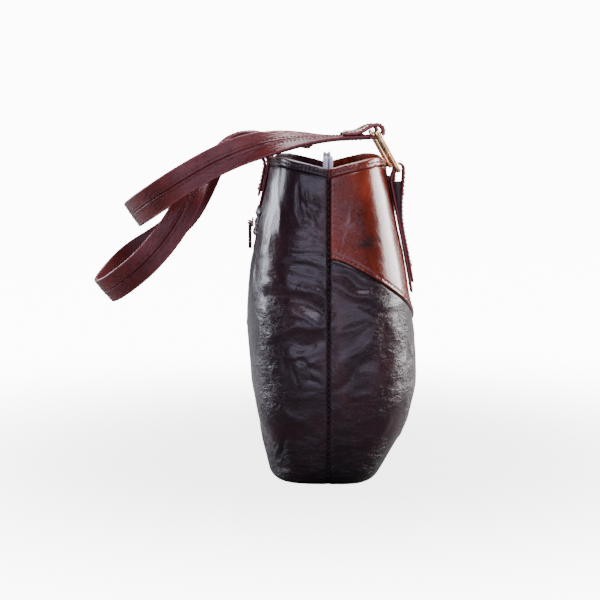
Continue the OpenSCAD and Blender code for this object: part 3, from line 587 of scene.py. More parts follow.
def wallRings(side, s, low, high, rows, outer, inner, lift=None, seam=1.5, edge=1.0, crowd=1.0):
    # One ring of points per s: up the outside and down the inside, dipping by seam at the side seams
    # and rounded by edge at the top and bottom. lift(points) gives how far the outside stands out.
    low, high = low[:, None], high[:, None]
    z = mix(low, high, np.linspace(0, 1, rows)[None, :] ** crowd)
    out = wallPoint(side, s[:, None], z, outer)
    way = wallOut(out)
    reach = np.abs(out[..., 1])
    pucker = seamForm["pucker"] * hump(reach / seamForm["puckerWidth"])
    pucker = pucker * np.sin(2 * np.pi * z / seamForm["stitch"])
    stand = -seam * hump(reach / seamForm["width"]) - pucker * (seam > 0)
    if lift is not None:
        stand = stand + lift(out)
        stand = np.where(stand < 0, sag["deepest"] * np.tanh(stand / sag["deepest"]), stand)
    bottom, top = clamp((z - low) / seamForm["round"]), clamp((high - z) / seamForm["round"])
    rounded = edge * ((1 - bottom) ** 2 + (1 - top) ** 2)
    out = out + (stand - rounded)[..., None] * way
    # the inside gives way where a fold goes deeper than the leather is thick
    give = np.minimum(stand + inner - sag["thinnest"], 0)
    return walled(out, wallPoint(side, s[:, None], z, inner) + give[..., None] * way)


def paintedShade(rings, low, high, edgeWidth=2.0, sideWidth=2.4, dark=0.75, foot=0):
    # Painted shade in the side seams, along the edges where panels meet and, up to the height foot, round
    # the bottom; the inner face is painted darker too
    rows = rings.shape[1] // 2
    y, z = rings[:, :rows, 1], rings[:, :rows, 2]
    near = hump(np.abs(y) / sideWidth)
    near = np.maximum(near, 0.7 * hump((z - low[:, None]) / edgeWidth))
    near = np.maximum(near, 0.7 * hump((z - high[:, None]) / edgeWidth))
    # painted shade round the foot, darkest at the bottom
    if foot:
        near = np.maximum(near, wave((foot - z + 12 * waves(y, z, 46, 4, 81)) / foot))
    tone = 1 - dark * near
    return np.concatenate([tone, np.full_like(tone, 0.5)], axis=1)


wall = dict(columns=281, lowerRows=118, backRows=148, footShade=58, tuck=2.5, tuckIn=1.1)
s = np.linspace(0, 2, wall["columns"])
zero = np.zeros_like(s)
wallTop = rimZ(s) - bag["bandHeight"] + 0.2


def tuckUnder(p):  # the lower panel's top goes in under the yoke's folded edge
    a = wave((p[..., 2] - (yokeZ(s)[:, None] - 3)) / 4)
    return relief(p) * (1 - 0.8 * a) - wall["tuckIn"] * a


low, high = zero, yokeZ(s) + wall["tuck"]
rings = wallRings(front, s, low, high, wall["lowerRows"], 0, bag["leather"], tuckUnder, crowd=1.15)
# painted shade in its seams, along its edges and round its foot
skinPiece("front_lower_leather", rings, darkLeather, "bag", ("front_lower_panel",),
          shade=paintedShade(rings, low - 9, high, 5.0, foot=wall["footShade"]))

yoke = dict(proud=1.3, proudEnd=26, rows=100, fold=0.55, foldUp=2.2, foldWidth=2.0, groove=0.4,
            stitchUp=5.2, calm=0.45, calmEnd=20, pucker=0.22, puckerUp=3, puckerWidth=5, pitch=4.4,
            blemish=dict(y=-36, z=235, wide=11, tall=6, lean=0.6, x=-100))


def yokeLift(p):
    # The yoke lies over the lower panel; its lower edge is folded, fuller and puckered by its stitches
    up = p[..., 2] - yokeZ(s)[:, None]
    fold = yoke["proud"] * (1 - wave(up / yoke["proudEnd"]))
    fold = fold + yoke["fold"] * hump((up - yoke["foldUp"]) / yoke["foldWidth"])
    groove = -yoke["groove"] * hump(up - yoke["stitchUp"])
    pucker = yoke["pucker"] * hump((up - yoke["puckerUp"]) / yoke["puckerWidth"])
    pucker = pucker * np.sin(2 * np.pi * (p[..., 0] + p[..., 1]) / yoke["pitch"])
    return fold + groove + relief(p) * yoke["calm"] * wave(up / yoke["calmEnd"]) + pucker


low, high = yokeZ(s), wallTop
rings = wallRings(front, s, low, high, yoke["rows"], 0, bag["leather"], yokeLift,
                  seam=2.4, edge=1.4, crowd=1.5)
# painted shade along the yoke's seams and lower edge
tone = paintedShade(rings, low, high + 20, 1.2, 3.0, 0.8)
x, y, z = (rings[:, :yoke["rows"], i] for i in range(3))
mark = yoke["blemish"]
lean = (y - mark["y"]) + (z - mark["z"]) * mark["lean"]
spot = hump(lean / mark["wide"]) * hump((z - mark["z"]) / mark["tall"])
spot = spot * clamp(0.85 + 0.6 * waves(y, z, 5, 5, 31)) * (x < mark["x"])
tone[:, :yoke["rows"]] = np.minimum(tone[:, :yoke["rows"]], 1 - 0.95 * clamp(spot))
skinPiece("front_yoke_leather", rings, yokeLeather, "bag", ("front_yoke",), shade=tone)

rings = wallRings(back, s, zero, wallTop, wall["backRows"], 0, bag["leather"], relief, crowd=1.1)
# painted shade in its seams, along its edges and round its foot
skinPiece("back_leather", rings, darkLeather, "bag", ("back_panel",),
          shade=paintedShade(rings, zero - 9, wallTop, 5.0, foot=wall["footShade"]))
print("walls ready")

# turned band round the rim, its facing and the linings
rim = dict(proud=0.7, rows=16, pucker=0.35, puckerAt=0.45, puckerWidth=0.25, pitch=4.2, stitch=0.42,
           groove=0.5, grooveWidth=0.09, dip=2.0, dipWidth=3.0, tuck=0.9, tuckStart=0.85, facingRows=24)
lining = dict(rows=60, low=5.6, bulge=0.8, inward=0.9, size=40)


def bandRings(side):
    # Section of the turned band: up the outside, round over the rim, down to the facing
    v = np.linspace(0, 1, rim["rows"])[None, :]
    z = rimZ(s)[:, None] - bag["bandHeight"] * (1 - v)
    out = wallPoint(side, s[:, None], z, 0)
    pucker = np.sin(2 * np.pi * (out[..., 0] + out[..., 1]) / rim["pitch"])
    pucker = pucker * hump((v - rim["puckerAt"]) / rim["puckerWidth"])
    stand = rim["proud"] * np.sin(np.pi * clamp(v * 1.05)) ** 0.6 + rim["pucker"] * pucker
    stand = stand - rim["groove"] * hump((v - rim["stitch"]) / rim["grooveWidth"])
    stand = stand - rim["dip"] * hump(np.abs(out[..., 1]) / rim["dipWidth"])
    stand = stand - rim["tuck"] * clamp((v - rim["tuckStart"]) / (1 - rim["tuckStart"])) ** 2
    return walled(out + stand[..., None] * wallOut(out), wallPoint(side, s[:, None], z, bag["leather"]))


for side in (front, back):
    finish, slot = bodyLeather[side]
    v = np.linspace(0, 1, rim["rows"])[None, :]
    # painted shade at the band's lower edge and in its stitch groove; paler wear along its top
    tone = 1 - 0.55 * hump((v - 0.02) / 0.1) - 0.35 * hump((v - rim["stitch"]) / 0.08)
    tone = tone + 0.75 * clamp((v - 0.8) / 0.2)
    skinPiece(sideName[side] + "_rim_turned_band", bandRings(side), finish, "bag",
              (sideName[side] + "_rim_band",), shade=np.concatenate([tone, np.ones_like(tone)], axis=1))

    low, high = rimZ(s) - bag["facingHeight"], rimZ(s)
    inset = bag["facingInset"]
    rings = wallRings(side, s, low, high, rim["facingRows"], inset, inset + bag["facing"], None, 0, 0.2)
    skinPiece(sideName[side] + "_facing_leather", rings, finish, "bag", (sideName[side] + "_facing",))

    low, high = zero + lining["low"], rimZ(s) - bag["facingHeight"] - bag["gap"]
    inset, rows = bag["liningInset"], lining["rows"]
    rings = wallRings(side, s, low, high, rows, inset, inset + bag["lining"], None, 0, 0.1)
    inner = rings[:, rows:]
    bulge = lining["bulge"] * waves(inner[..., 0] + inner[..., 1], inner[..., 2], lining["size"], 5, 41)
    t = np.linspace(0, 1, rows)[None, :]
    held = clamp(t[:, ::-1] * 8) * clamp(t * 8)  # the cloth's edges stay in place
    rings[:, rows:] += ((bulge - lining["inward"]) * held)[..., None] * wallOut(inner)
    skinPiece(sideName[side] + "_lining_cloth", rings, liningCloth, "bag",
              (sideName[side] + "_lining",))


def plate(name, z, thickness, inset, material, node, puff=0.0):
    # Flat piece of the base: rings run from the left to the right, across its depth
    foot = np.float64(0)
    half = halfWidth(foot) - inset
    x = np.sin(np.linspace(-1, 1, 121) * np.pi / 2) * half * 0.9995
    e = np.linspace(-1, 1, 41)[None, :]
    ahead, behind = (wallDepth(side, x, foot, inset)[:, None] for side in (front, back))
    y = mix(-ahead, behind, (e + 1) / 2)
    rise = puff * waves(x[:, None], y, 34, 5, 51) * (1 - e ** 8)
    rings = walled(points(x[:, None], y, z + 0 * y), points(x[:, None], y, z + thickness + rise))
    skinPiece(name, rings, material, "bag", (node,), smooth=False)


plate("base_leather", 0, bag["leather"], 2.1, darkLeather, "base_panel")
plate("base_cloth", 4.4, bag["lining"], bag["liningInset"], liningCloth, "base_lining",
      0.25)
nodeFinish("base_board", boardStuff)
print("rim and linings ready")

# stitches: where a stitch's six rings lie along it and how thick they are; each size gives length,
# gap and radius and, where they differ from the usual, how high it stands and how deep it dives
stitch = dict(share=(0.0, 0.12, 0.3, 0.7, 0.88, 1.0), swell=(0.25, 0.8, 1.0, 1.0, 0.8, 0.25), sides=6,
              yokeUp=4.9, rimUp=0.58, seamLow=7, seamHigh=296, seamIn=1.15)
stitchSize = dict(yoke=(2.9, 1.5, 0.38), rim=(2.8, 1.5, 0.38), seam=(3.4, 1.9, 0.62, 0.1, 0.5),
                  closure=(2.8, 1.4, 0.36), tab=(2.6, 1.4, 0.36), handle=(2.5, 1.6, 0.38, 0.05),
                  fold=(2.4, 1.3, 0.36))


def stitchRow(path, outward, length, gap, radius, lift=0.1, sink=0.25):
    # Short thread capsules laid on a path: each dives into the leather at both ends
    travel = travelled(path)
    count = max(int(travel[-1] / (length + gap)), 1)
    high = lift + radius * 0.3
    height = np.array([-sink, lift * 0.5, high, high, lift * 0.5, -sink])
    start = (np.arange(count) + 0.5) * travel[-1] / count - length / 2
    where = start[:, None] + np.array(stitch["share"])[None, :] * length
    spot = np.stack([np.interp(where, travel, path[:, i]) for i in range(3)], -1)
    out = unit(np.stack([np.interp(where, travel, outward[:, i]) for i in range(3)], -1))
    spot = spot + height[None, :, None] * out
    heading = unit(np.gradient(spot, axis=1))
    across = unit(np.cross(heading, out))
    up = np.cross(across, heading)
    a = 2 * np.pi * np.arange(stitch["sides"]) / stitch["sides"]
    spoke = np.cos(a)[:, None] * across[:, :, None] + np.sin(a)[:, None] * up[:, :, None]
    return manySkins(spot[:, :, None] + radius * np.array(stitch["swell"])[:, None, None] * spoke)


def stripRows(middle, widthway, faceway, reach, out, seen, size):
    # Two rows along a strip: reach to each side of its middle, out of it by out (below 0: underneath)
    paths = (middle + edge * widthway + out * faceway for edge in (-reach, reach))
    return [stitchRow(path[seen], np.sign(out) * faceway[seen], *stitchSize[size]) for path in paths]


def stitchPiece(name, rows, material, body):  # all rows of a piece as one mesh
    verts, faces = joined(rows)
    return makePiece(name, verts, faces, material, body)


def wallStitches(side, s, z, stand, size):
    # One row at height z that stands out of the wall by stand
    p = wallPoint(side, s, z, 0)
    way = wallOut(p)
    return [stitchRow(p + stand * way, way, *stitchSize[size])]


fine = np.linspace(0.012, 1.988, 900)
stitchPiece("yoke_stitches", wallStitches(front, fine, yokeZ(fine) + stitch["yokeUp"], 1.25, "yoke"),
            redThread, "bag")
for side in (front, back):
    rows = wallStitches(side, fine, rimZ(fine) - bag["bandHeight"] * stitch["rimUp"], 0.25, "rim")
    stitchPiece(sideName[side] + "_rim_stitches", rows, bodyThread[side], "bag")
z = np.linspace(stitch["seamLow"], stitch["seamHigh"], 300)
rows = [stitchRow(points(hand * (halfWidth(z) - stitch["seamIn"]), 0, z), pointing(z, hand, 0, 0),
                  *stitchSize["seam"]) for hand in (left, right)]
stitchPiece("side_seam_stitches", rows, darkThread, "bag")
print("stitches ready")

# zip in the mouth
zipper = dict(z=294, half=118, sliderX=50, mouth=22, closed=1.4, teeth=3, tape=10, tapeThick=0.8,
              tapeZ=293.6, gap=0.3, closure=1.2, closureZ=(295.1, 297), closureRipple=0.3, margin=4,
              seamIn=2.2, seamZ=296.8, toothPitch=2.6, tooth=(2.6, 2.6, 1.7), eyeZ=299.3,
              puller=dict(length=35.5, width=7, thickness=2.0, drop=-1.05))
zipX = np.linspace(-zipper["half"], zipper["half"], 160)


def mouthGap(x):
    # Half the opening: a sine bow up to the slider, then closed
    span = zipper["sliderX"] + zipper["half"]
    bow = zipper["mouth"] * np.sin(np.pi * (x + zipper["half"]) / span)
    return zipper["closed"] + np.where(x >= zipper["sliderX"], 0, bow)


def zipStrip(name, side, near, far, nearZ, farZ, thickness, material, node, ripple=0.0):
    # Strip along the zip, from its near to its far edge
    x, e = zipX[:, None], np.linspace(0, 1, 10)[None, :]
    y = side * mix(near[:, None], far[:, None], e)
    z = mix(nearZ, farZ, e) + ripple * np.sin(x / 9 + side) * np.sin(np.pi * e)
    skinPiece(name, walled(points(x, y, z), points(x, y, z + thickness)), material, "bag", (node,))


for side in (front, back):
    finish, slot = bodyLeather[side]
    inset = bag["facingInset"] + bag["facing"] + bag["gap"]
    edge = mouthGap(zipX) + zipper["teeth"]
    nearZ, farZ = zipper["closureZ"]
    zipStrip(sideName[side] + "_closure_leather", side, edge + zipper["margin"],
             wallDepth(side, zipX, farZ, inset) - bag["gap"], nearZ, farZ, zipper["closure"],
             finish, sideName[side] + "_closure_panel", zipper["closureRipple"])
    near = edge + zipper["gap"]
    zipStrip(sideName[side] + "_zip_tape_cloth", side, near, near + zipper["tape"], zipper["tapeZ"],
             zipper["tapeZ"], zipper["tapeThick"], tapeCloth, sideName[side] + "_zip_tape")
    x = zipX[2:-2]
    path = points(x, side * (edge[2:-2] + zipper["margin"] + zipper["seamIn"]), zipper["seamZ"])
    rows = [stitchRow(path, pointing(x, 0, 0, 1), *stitchSize["closure"])]
    stitchPiece(sideName[side] + "_closure_stitches", rows, bodyThread[side], "bag")


def toothRow(path, inward, up, height, width, thick):
    # Small moulded teeth: a block with a narrow head that points at the other row
    corners = np.array([[-1, -1], [1, -1], [1, 1], [-1, 1]])
    heading = unit(np.gradient(path, axis=0))
    section = corners[None, :, :1] * heading[:, None] * thick / 2
    section = section + corners[None, :, 1:] * up[:, None] * height / 2
    spans = ((-0.5, 1.0), (0.1, 1.0), (0.35, 0.62), (0.6, 0.8))
    return manySkins(np.stack([(path + inward * reach * width)[:, None] + size * section
                               for reach, size in spans], axis=1))


for side in (front, back):
    shift = 0.0 if side == front else zipper["toothPitch"] / 2
    x = np.arange(-zipper["half"] + 1 + shift, zipper["half"] - 1, zipper["toothPitch"])
    path = points(x, side * (mouthGap(x) + zipper["teeth"] / 2), zipper["z"])
    verts, faces = toothRow(path, pointing(x, 0, -side, 0), pointing(x, 0, 0, 1), *zipper["tooth"])
    makePiece(sideName[side] + "_zip_teeth_row", verts, faces, brass, "bag",
              (sideName[side] + "_zip_teeth",), smooth=False)

# folded tape ends: two thin leaves with a rounded top, standing in the dip of the rim
zipEnd = dict(start=118.6, length=12, spread=4.7, leaf=3.9, low=286.2, high=316.8,
              leans=((-1, 0.6), (1, -0.3)), thinnest=0.12, droop=0.8, leanFrom=300, droopFrom=310)
for hand in (left, right):
    leaves = []
    u = np.linspace(0, 1, 26)[:, None]
    z = np.linspace(zipEnd["low"], zipEnd["high"], 16)[None, :]
    x = hand * (zipEnd["start"] + zipEnd["length"] * u)
    for offset, lean in zipEnd["leans"]:
        half = zipEnd["leaf"] / 2 * np.sqrt(clamp((zipEnd["high"] - z) / 1.5)) * (1 + 0.12 * np.sin(6 * u))
        half = np.maximum(half, zipEnd["thinnest"])
        y = offset * zipEnd["spread"] / 2 + lean * np.sin(np.pi * u) * wave((z - zipEnd["leanFrom"]) / 16)
        droop = zipEnd["droop"] * np.sin(np.pi * u) * clamp((z - zipEnd["droopFrom"]) / 6)
        leaves.append(skin(walled(points(x, y - half, z - droop), points(x, y + half, z - droop))))
    verts, faces = joined(leaves)
    makePiece(handName[hand] + "_tape_end", verts, faces, tapeCloth, "bag",
              (handName[hand] + "_zip_end",), flow=verts[:, ::2])


tongue = dict(root=1.2, narrow=0.82, least=0.5, eye=1.75, eyeThick=0.5, eyeWide=0.41, soft=1.35)


def tonguePiece(name, eye, ahead, acrossway, form, material, node):
    # Leather tongue with an eye round the bail: it widens to a rounded tip
    eye, ahead, acrossway = (np.asarray(v, float) for v in (eye, ahead, acrossway))
    length, width, thickness = form["length"], form["width"], form["thickness"]
    lift = np.cross(ahead, acrossway)
    u = np.linspace(0, 1, 40)
    half = width / 2 * mix(tongue["narrow"], 1, wave(u * 2))
    half = half * np.sqrt(clamp((1 - u) * length / (width / 2) * 0.9 + 0.02))
    half = np.maximum(half, tongue["least"])[:, None, None]
    root = tongue["root"]
    middle = (eye + ahead * (root + (length - root) * u)[:, None] + lift * form["drop"])[:, None]
    e = np.linspace(-1, 1, 12)[None, :, None]
    face = middle + acrossway * half * e + lift * (thickness / 2 * (1 + 0.25 * (1 - e ** 2)))
    leaf = skin(walled(face, middle + acrossway * half * e - lift * thickness / 2))
    a = np.linspace(0, 2 * np.pi, 28, endpoint=False)[:, None, None]
    q = np.linspace(0, 2 * np.pi, 12, endpoint=False)[None, :, None]
    radius = tongue["eye"] + np.clip(tongue["soft"] * np.sin(q), -1, 1) * tongue["eyeThick"]
    wide = np.clip(tongue["soft"] * np.cos(q), -1, 1) * width * tongue["eyeWide"]
    loop = skin(eye + radius * np.cos(a) * ahead + radius * np.sin(a) * lift + wide * acrossway, True)
    verts, faces = joined([leaf, loop])
    return makePiece(name, verts, faces, material, node, (node,))


tonguePiece("zip_puller_tongue", (zipper["sliderX"], 0, zipper["eyeZ"]), (-1, 0, 0), (0, -1, 0),
            zipper["puller"], strapLeather, "zip_puller")

# pocket on the back; a welt has its shift from the tape's edge, half height and how far it stands out
pocket = dict(z=249, half=95, tapeHalf=7, out=1.1, puff=0.5, ripple=0.35, under=0.6, teethOut=2.6,
              toothPitch=2.4, stagger=0.5, tooth=(2.2, 2.0, 1.5), eyeX=-60, eyeY=78.865,
              welts=dict(upper=(3.8, 5.0, 3.8), lower=(-1.8, 3.4, 2.8)), weltEnd=3,
              pouchDeep=126, pouchUp=6, pouchGap=0.5, pouchThick=1.4,
              puller=dict(length=26.6, width=7, thickness=3.0, drop=0.25))
x = np.linspace(-pocket["half"], pocket["half"], 180)[:, None]
e = np.linspace(-1, 1, 18)[None, :]
z = pocket["z"] + pocket["tapeHalf"] * e + 0 * x
base = wallDepth(back, x, z, 0)
puff = pocket["puff"] + pocket["ripple"] * np.sin(x / 5.5) * np.abs(e) ** 2
rings = walled(points(x, base + pocket["out"] + puff, z), points(x, base - pocket["under"], z))
skinPiece("pocket_tape_cloth", rings, darkTape, "bag", ("pocket_zip_tape",))
x = np.arange(-pocket["half"] + 1, pocket["half"] - 1, pocket["toothPitch"] / 2)
x = x[: len(x) // 2 * 2]
turn = np.where(np.arange(len(x)) % 2, 1.0, -1.0)
y = wallDepth(back, x, pocket["z"] + 0 * x) + pocket["teethOut"]
path = points(x, y, pocket["z"] + pocket["stagger"] * turn)
verts, faces = toothRow(path, points(0, 0, -turn), pointing(x, 0, 1, 0), *pocket["tooth"])
makePiece("pocket_teeth_row", verts, faces, darkBrass, "bag", ("pocket_zip_teeth",), smooth=False)
for name, (shift, tall, stand) in pocket["welts"].items():  # gathered leather above and below the teeth
    reach = pocket["half"] + pocket["weltEnd"]
    x = np.linspace(-reach, reach, 260)[:, None]
    e = np.linspace(0, 2 * np.pi, 14, endpoint=False)[None, :]
    centreZ = pocket["z"] + math.copysign(pocket["tapeHalf"], shift) + shift
    gather = 0.85 + 0.28 * np.sin(x / 1.6) * np.sin(x / 7.3) + 0.14 * np.sin(x / 5.3 + shift)
    ends = np.sqrt(clamp((reach - np.abs(x)) / 4) + 0.02)
    z = centreZ + tall * ends * gather ** 0.3 * np.sin(e)
    y = wallDepth(back, x, centreZ + 0 * x) + stand * ends * gather * np.cos(e) + 0.4
    # painted shade on the side of each welt that lies against the wall
    skinPiece("pocket_" + name + "_welt", points(x, y, z), darkLeather, "bag",
              shade=0.8 + 0.2 * np.cos(e))
x = np.linspace(-pocket["half"], pocket["half"], 60)[:, None]
z = np.linspace(pocket["z"] - pocket["pouchDeep"], pocket["z"] + pocket["pouchUp"], 50)[None, :]
inset = bag["liningInset"] + bag["lining"] + pocket["pouchGap"]
slack = 0.8 * np.abs(waves(x, z, 30, 4, 61)) * (1 - (x / pocket["half"]) ** 6)
inner = points(x, wallDepth(back, x, z, inset + pocket["pouchThick"]) - slack, z)
skinPiece("pocket_pouch_cloth", walled(points(x, wallDepth(back, x, z, inset), z), inner), liningCloth,
          "bag", ("pocket_pouch",))
tonguePiece("pocket_puller_tongue", (pocket["eyeX"], pocket["eyeY"], pocket["z"]), (0, 0, -1), (1, 0, 0),
            pocket["puller"], darkLeather, "pocket_puller")
print("zips ready")

# rings, tabs and their rivets
tabs = {front: dict(x=84, pinY=-68.5, pinZ=302, slope=60.8, room=1.2, lift=1.5, length=122, settle=80,
                    pinch=0.3),
        back: dict(x=50, pinY=62.9, pinZ=318, slope=15, room=0.3, lift=0, length=53, settle=14,
                   pinch=1.5)}
strap = dict(width=29, tabLeather=2.2, wire=5, loopSettle=14, tail=10, rise=42, roundEnd=9, stitchIn=2.8,
             shadeFillerStart=13, backer=19.5, backerTop=271.5)


def tabLoop(side):
    # Centre of the loop round the ring's lower bar, and the radius of the leather's middle there
    t = tabs[side]
    radius = strap["wire"] / 2 + t["room"] + strap["tabLeather"] / 2
    return t["pinY"] + side * (t["room"] - bag["gap"]), t["pinZ"] + t["lift"], radius


def tabLine(side, outerLayer, z):
    # Distance of a layer's middle from the seams' plane, from its loop down to its seat on the wall
    t = tabs[side]
    loopY, loopZ, radius = tabLoop(side)
    seat = wallDepth(side, t["x"] - strap["width"] / 2, np.minimum(z, bag["height"]),
                     -bag["gap"] - strap["tabLeather"] / 2)
    drop = loopZ - z
    if outerLayer:
        return mix(abs(loopY) + radius, seat + strap["tabLeather"] + t["pinch"], wave(drop / t["settle"]))
    return mix(abs(loopY) - radius, seat, wave(drop / strap["loopSettle"]))


def stripNormal(line, centre, probe):
    # Level normals of a line in the YZ plane, on the side away from the loop's centre at one station
    heading = unit(np.gradient(line, axis=0))
    normal = np.stack([heading[:, 1], -heading[:, 0]], -1)
    return normal * np.sign(np.sum(normal[probe] * (line[probe] - centre)))


def roundedEnd(gap, length):  # 0 at the end, 1 from length on, as a quarter circle
    share = clamp(gap / length)
    return share * (2 - share)


for side in (front, back):
    t = tabs[side]
    loopY, loopZ, radius = tabLoop(side)
    q = np.linspace(1, 0, 60) ** 1.4
    zIn = loopZ - t["length"] * q
    zOut = loopZ - (t["length"] - strap["tail"]) * q[::-1]
    arc = np.radians(np.linspace(172, 8, 22))
    line = np.concatenate([
        np.stack([side * tabLine(side, False, zIn), zIn], -1),
        np.stack([loopY + side * radius * np.cos(arc), loopZ + radius * np.sin(arc)], -1),
        np.stack([side * tabLine(side, True, zOut), zOut], -1)])
    normal = stripNormal(line, [loopY, loopZ], 70)
    travel = travelled(line)
    endGap = np.minimum(travel, travel[-1] - travel)
    narrow = mix(0.6, 1, np.sqrt(roundedEnd(endGap, strap["roundEnd"]) + 0.004))
    widthway, faceway = pointing(travel, 1, 0, 0), points(0, normal[:, 0], normal[:, 1])
    for hand in (left, right):
        x = hand * t["x"]
        middle = points(x, line[:, 0], line[:, 1])
        rings = band(middle, widthway, faceway, strap["width"], strap["tabLeather"], 0.15, 16, 5)
        reach = rings[..., 0] - x
        rings[..., 0] = x + reach * narrow[:, None]
        name = sideName[side] + "_" + handName[hand] + "_tab"
        e = np.abs(reach) / (strap["width"] / 2)
        # painted shade along the stitch lines; paler wear at the edges; darker at the cut ends
        tone = 1 - 0.5 * hump((e - 0.83) / 0.05) + 0.5 * clamp((e - 0.93) / 0.05)
        tone = np.where(endGap[:, None] < 2, 0.6, tone)
        skinPiece(name + "_leather", rings, strapLeather, "bag", (name,), shade=tone)
        rows = stripRows(middle, widthway, faceway, strap["width"] / 2 - strap["stitchIn"],
                         strap["tabLeather"] / 2 + 0.1, slice(86, -6), "tab")
        stitchPiece(name + "_stitches", rows, redThread, "bag")
        if side == front:
            # painted shade: a black filler between the two layers, below the ring's room, standing in for
            # the shade between them
            foot = loopZ - (t["length"] - strap["tail"]) + 2
            z = np.linspace(loopZ - strap["shadeFillerStart"], foot, 50)[:, None]
            cut = strap["tabLeather"] / 2 - 0.2
            e = np.linspace(-1, 1, 8)[None, :] * (strap["width"] / 2 - 0.5)
            inner = points(x + e, side * (tabLine(side, False, z) + cut), z)
            outer = points(x + e, side * (tabLine(side, True, z) - cut), z)
            skinPiece(name + "_padding", walled(inner, outer), edgePaint, "bag")

for name in ("tab_rivets", "front_handle_plates", "back_handle_plates", "zip_slider"):
    nodeFinish(name, paleBrass)
nodeFinish("pocket_slider", darkBrass)
for side in (front, back):
    for hand in (left, right):
        nodeFinish(sideName[side] + "_" + handName[hand] + "_ring", brass)

patches = []  # stiffening patches behind the tabs
for side in (front, back):
    t = tabs[side]
    z = np.linspace(t["pinZ"] + t["lift"] - t["length"] - 5, strap["backerTop"], 30)[None, :]
    for hand in (left, right):
        x = np.linspace(-strap["backer"], strap["backer"], 14)[:, None] + hand * t["x"]
        outer = points(x, side * wallDepth(side, x, z, bag["leather"] + 0.5), z)
        inner = points(x, side * wallDepth(side, x, z, bag["liningInset"] - 0.3), z)
        patches.append(skin(walled(outer, inner)))
verts, faces = joined(patches)
makePiece("tab_backer_boards", verts, faces, boardStuff, "bag", ("tab_backers",),
          flow=verts[:, ::2])
print("tabs ready")

# handles; keys are (distance from the ring's bar, slope in degrees) down the spine of a strap
handle = dict(
    keys={front: ((0, -2), (70, -2), (110, -11), (140, -21), (175, -29), (210, -32), (400, -40)),
          back: ((0, 14), (52, 14), (88, -52), (108, -60), (168, -60), (205, -51), (240, -43), (400, -36))},
    reach={front: 270, back: 290}, span={front: 102, back: 58}, lean={front: 0, back: 18},
    twistStart={front: 26, back: 52}, twistEnd={front: 170, back: 200},
    crown=70, start=8, leanStart=160, leanLength=110, spreadStart=45, spreadLength=70,
    outer=2.4, inner=1.6, gap=0.3, total=4.3, fold=3.5, foldLength=34, foldRoom=1.7, foldSettle=22,
    seam=0.75, groove=0.22, stitchAt=0.27, foldStitchIn=2.9)
spineDrop = strap["wire"] / 2 + handle["gap"] + handle["fold"] / 2
foldInner = strap["wire"] / 2 + handle["foldRoom"]


def barYZ(side):  # the ring's upper bar: its pin, moved by the ring's rise along its slope
    slope = math.radians(tabs[side]["slope"])
    return (tabs[side]["pinY"] - side * strap["rise"] * math.cos(slope),
            tabs[side]["pinZ"] + strap["rise"] * math.sin(slope))


def spineAngle(side, r):  # slope changes evenly between keys
    keys = np.array(handle["keys"][side], float)
    return np.radians(np.interp(r, keys[:, 0], keys[:, 1]))


def spinePoint(side, r):
    # Sum of small steps along the slope, from the ring's upper bar
    step = 0.5
    fineR = np.arange(0, 420, step)
    a = spineAngle(side, fineR + step / 2)
    y = np.concatenate([[0], np.cumsum(step * np.cos(a))])[:-1]
    z = np.concatenate([[0], np.cumsum(step * np.sin(a))])[:-1]
    first = spineAngle(side, 0.0)
    under = np.minimum(r, 0)
    return np.stack([np.interp(r, fineR, y) + under * np.cos(first) + spineDrop * np.sin(first),
                     np.interp(r, fineR, z) + under * np.sin(first) - spineDrop * np.cos(first)], -1)


def strapFrame(side):
    # Stations from the left ring over the crown to the right ring: middle, widthway and faceway
    leg = handle["reach"][side] - handle["crown"]
    legR = np.linspace(handle["start"], leg, 120)
    quarter = np.linspace(0, 1, 61)[1:]
    halfway = len(legR) + len(quarter)
    hand = np.concatenate([np.full(halfway, -1.0), np.full(halfway - 1, 1.0)])
    c = np.pi / 2 * np.concatenate([0 * legR, quarter, quarter[::-1][1:], 0 * legR])
    base = np.concatenate([legR, leg + 0 * quarter, leg + 0 * quarter[1:], legR[::-1]])
    r = base + handle["crown"] * np.sin(c)
    span = handle["span"][side]
    spread = mix(tabs[side]["x"], span, wave((r - handle["spreadStart"]) / handle["spreadLength"]))
    x = hand * np.cos(c) * spread
    p, a = spinePoint(side, r), spineAngle(side, r)
    up = points(0, -np.sin(a), np.cos(a))
    lean = handle["lean"][side] * wave((r - handle["leanStart"]) / handle["leanLength"])
    lean = lean * (x / span + 1) / 2
    outward = points(hand * np.cos(c), np.sin(c) * np.cos(a), np.sin(c) * np.sin(a))
    start, end = handle["twistStart"][side], handle["twistEnd"][side]
    t = np.pi / 2 * wave((r - start) / (end - start))[:, None]
    face = np.cos(t) * up + np.sin(t) * outward
    width = np.cos(t) * hand[:, None] * np.array([1.0, 0, 0]) - np.sin(t) * up
    barY, barZ = barYZ(side)
    middle = points(x, barY + p[:, 0], barZ + p[:, 1]) + lean[:, None] * up
    return middle, unit(width), unit(face)


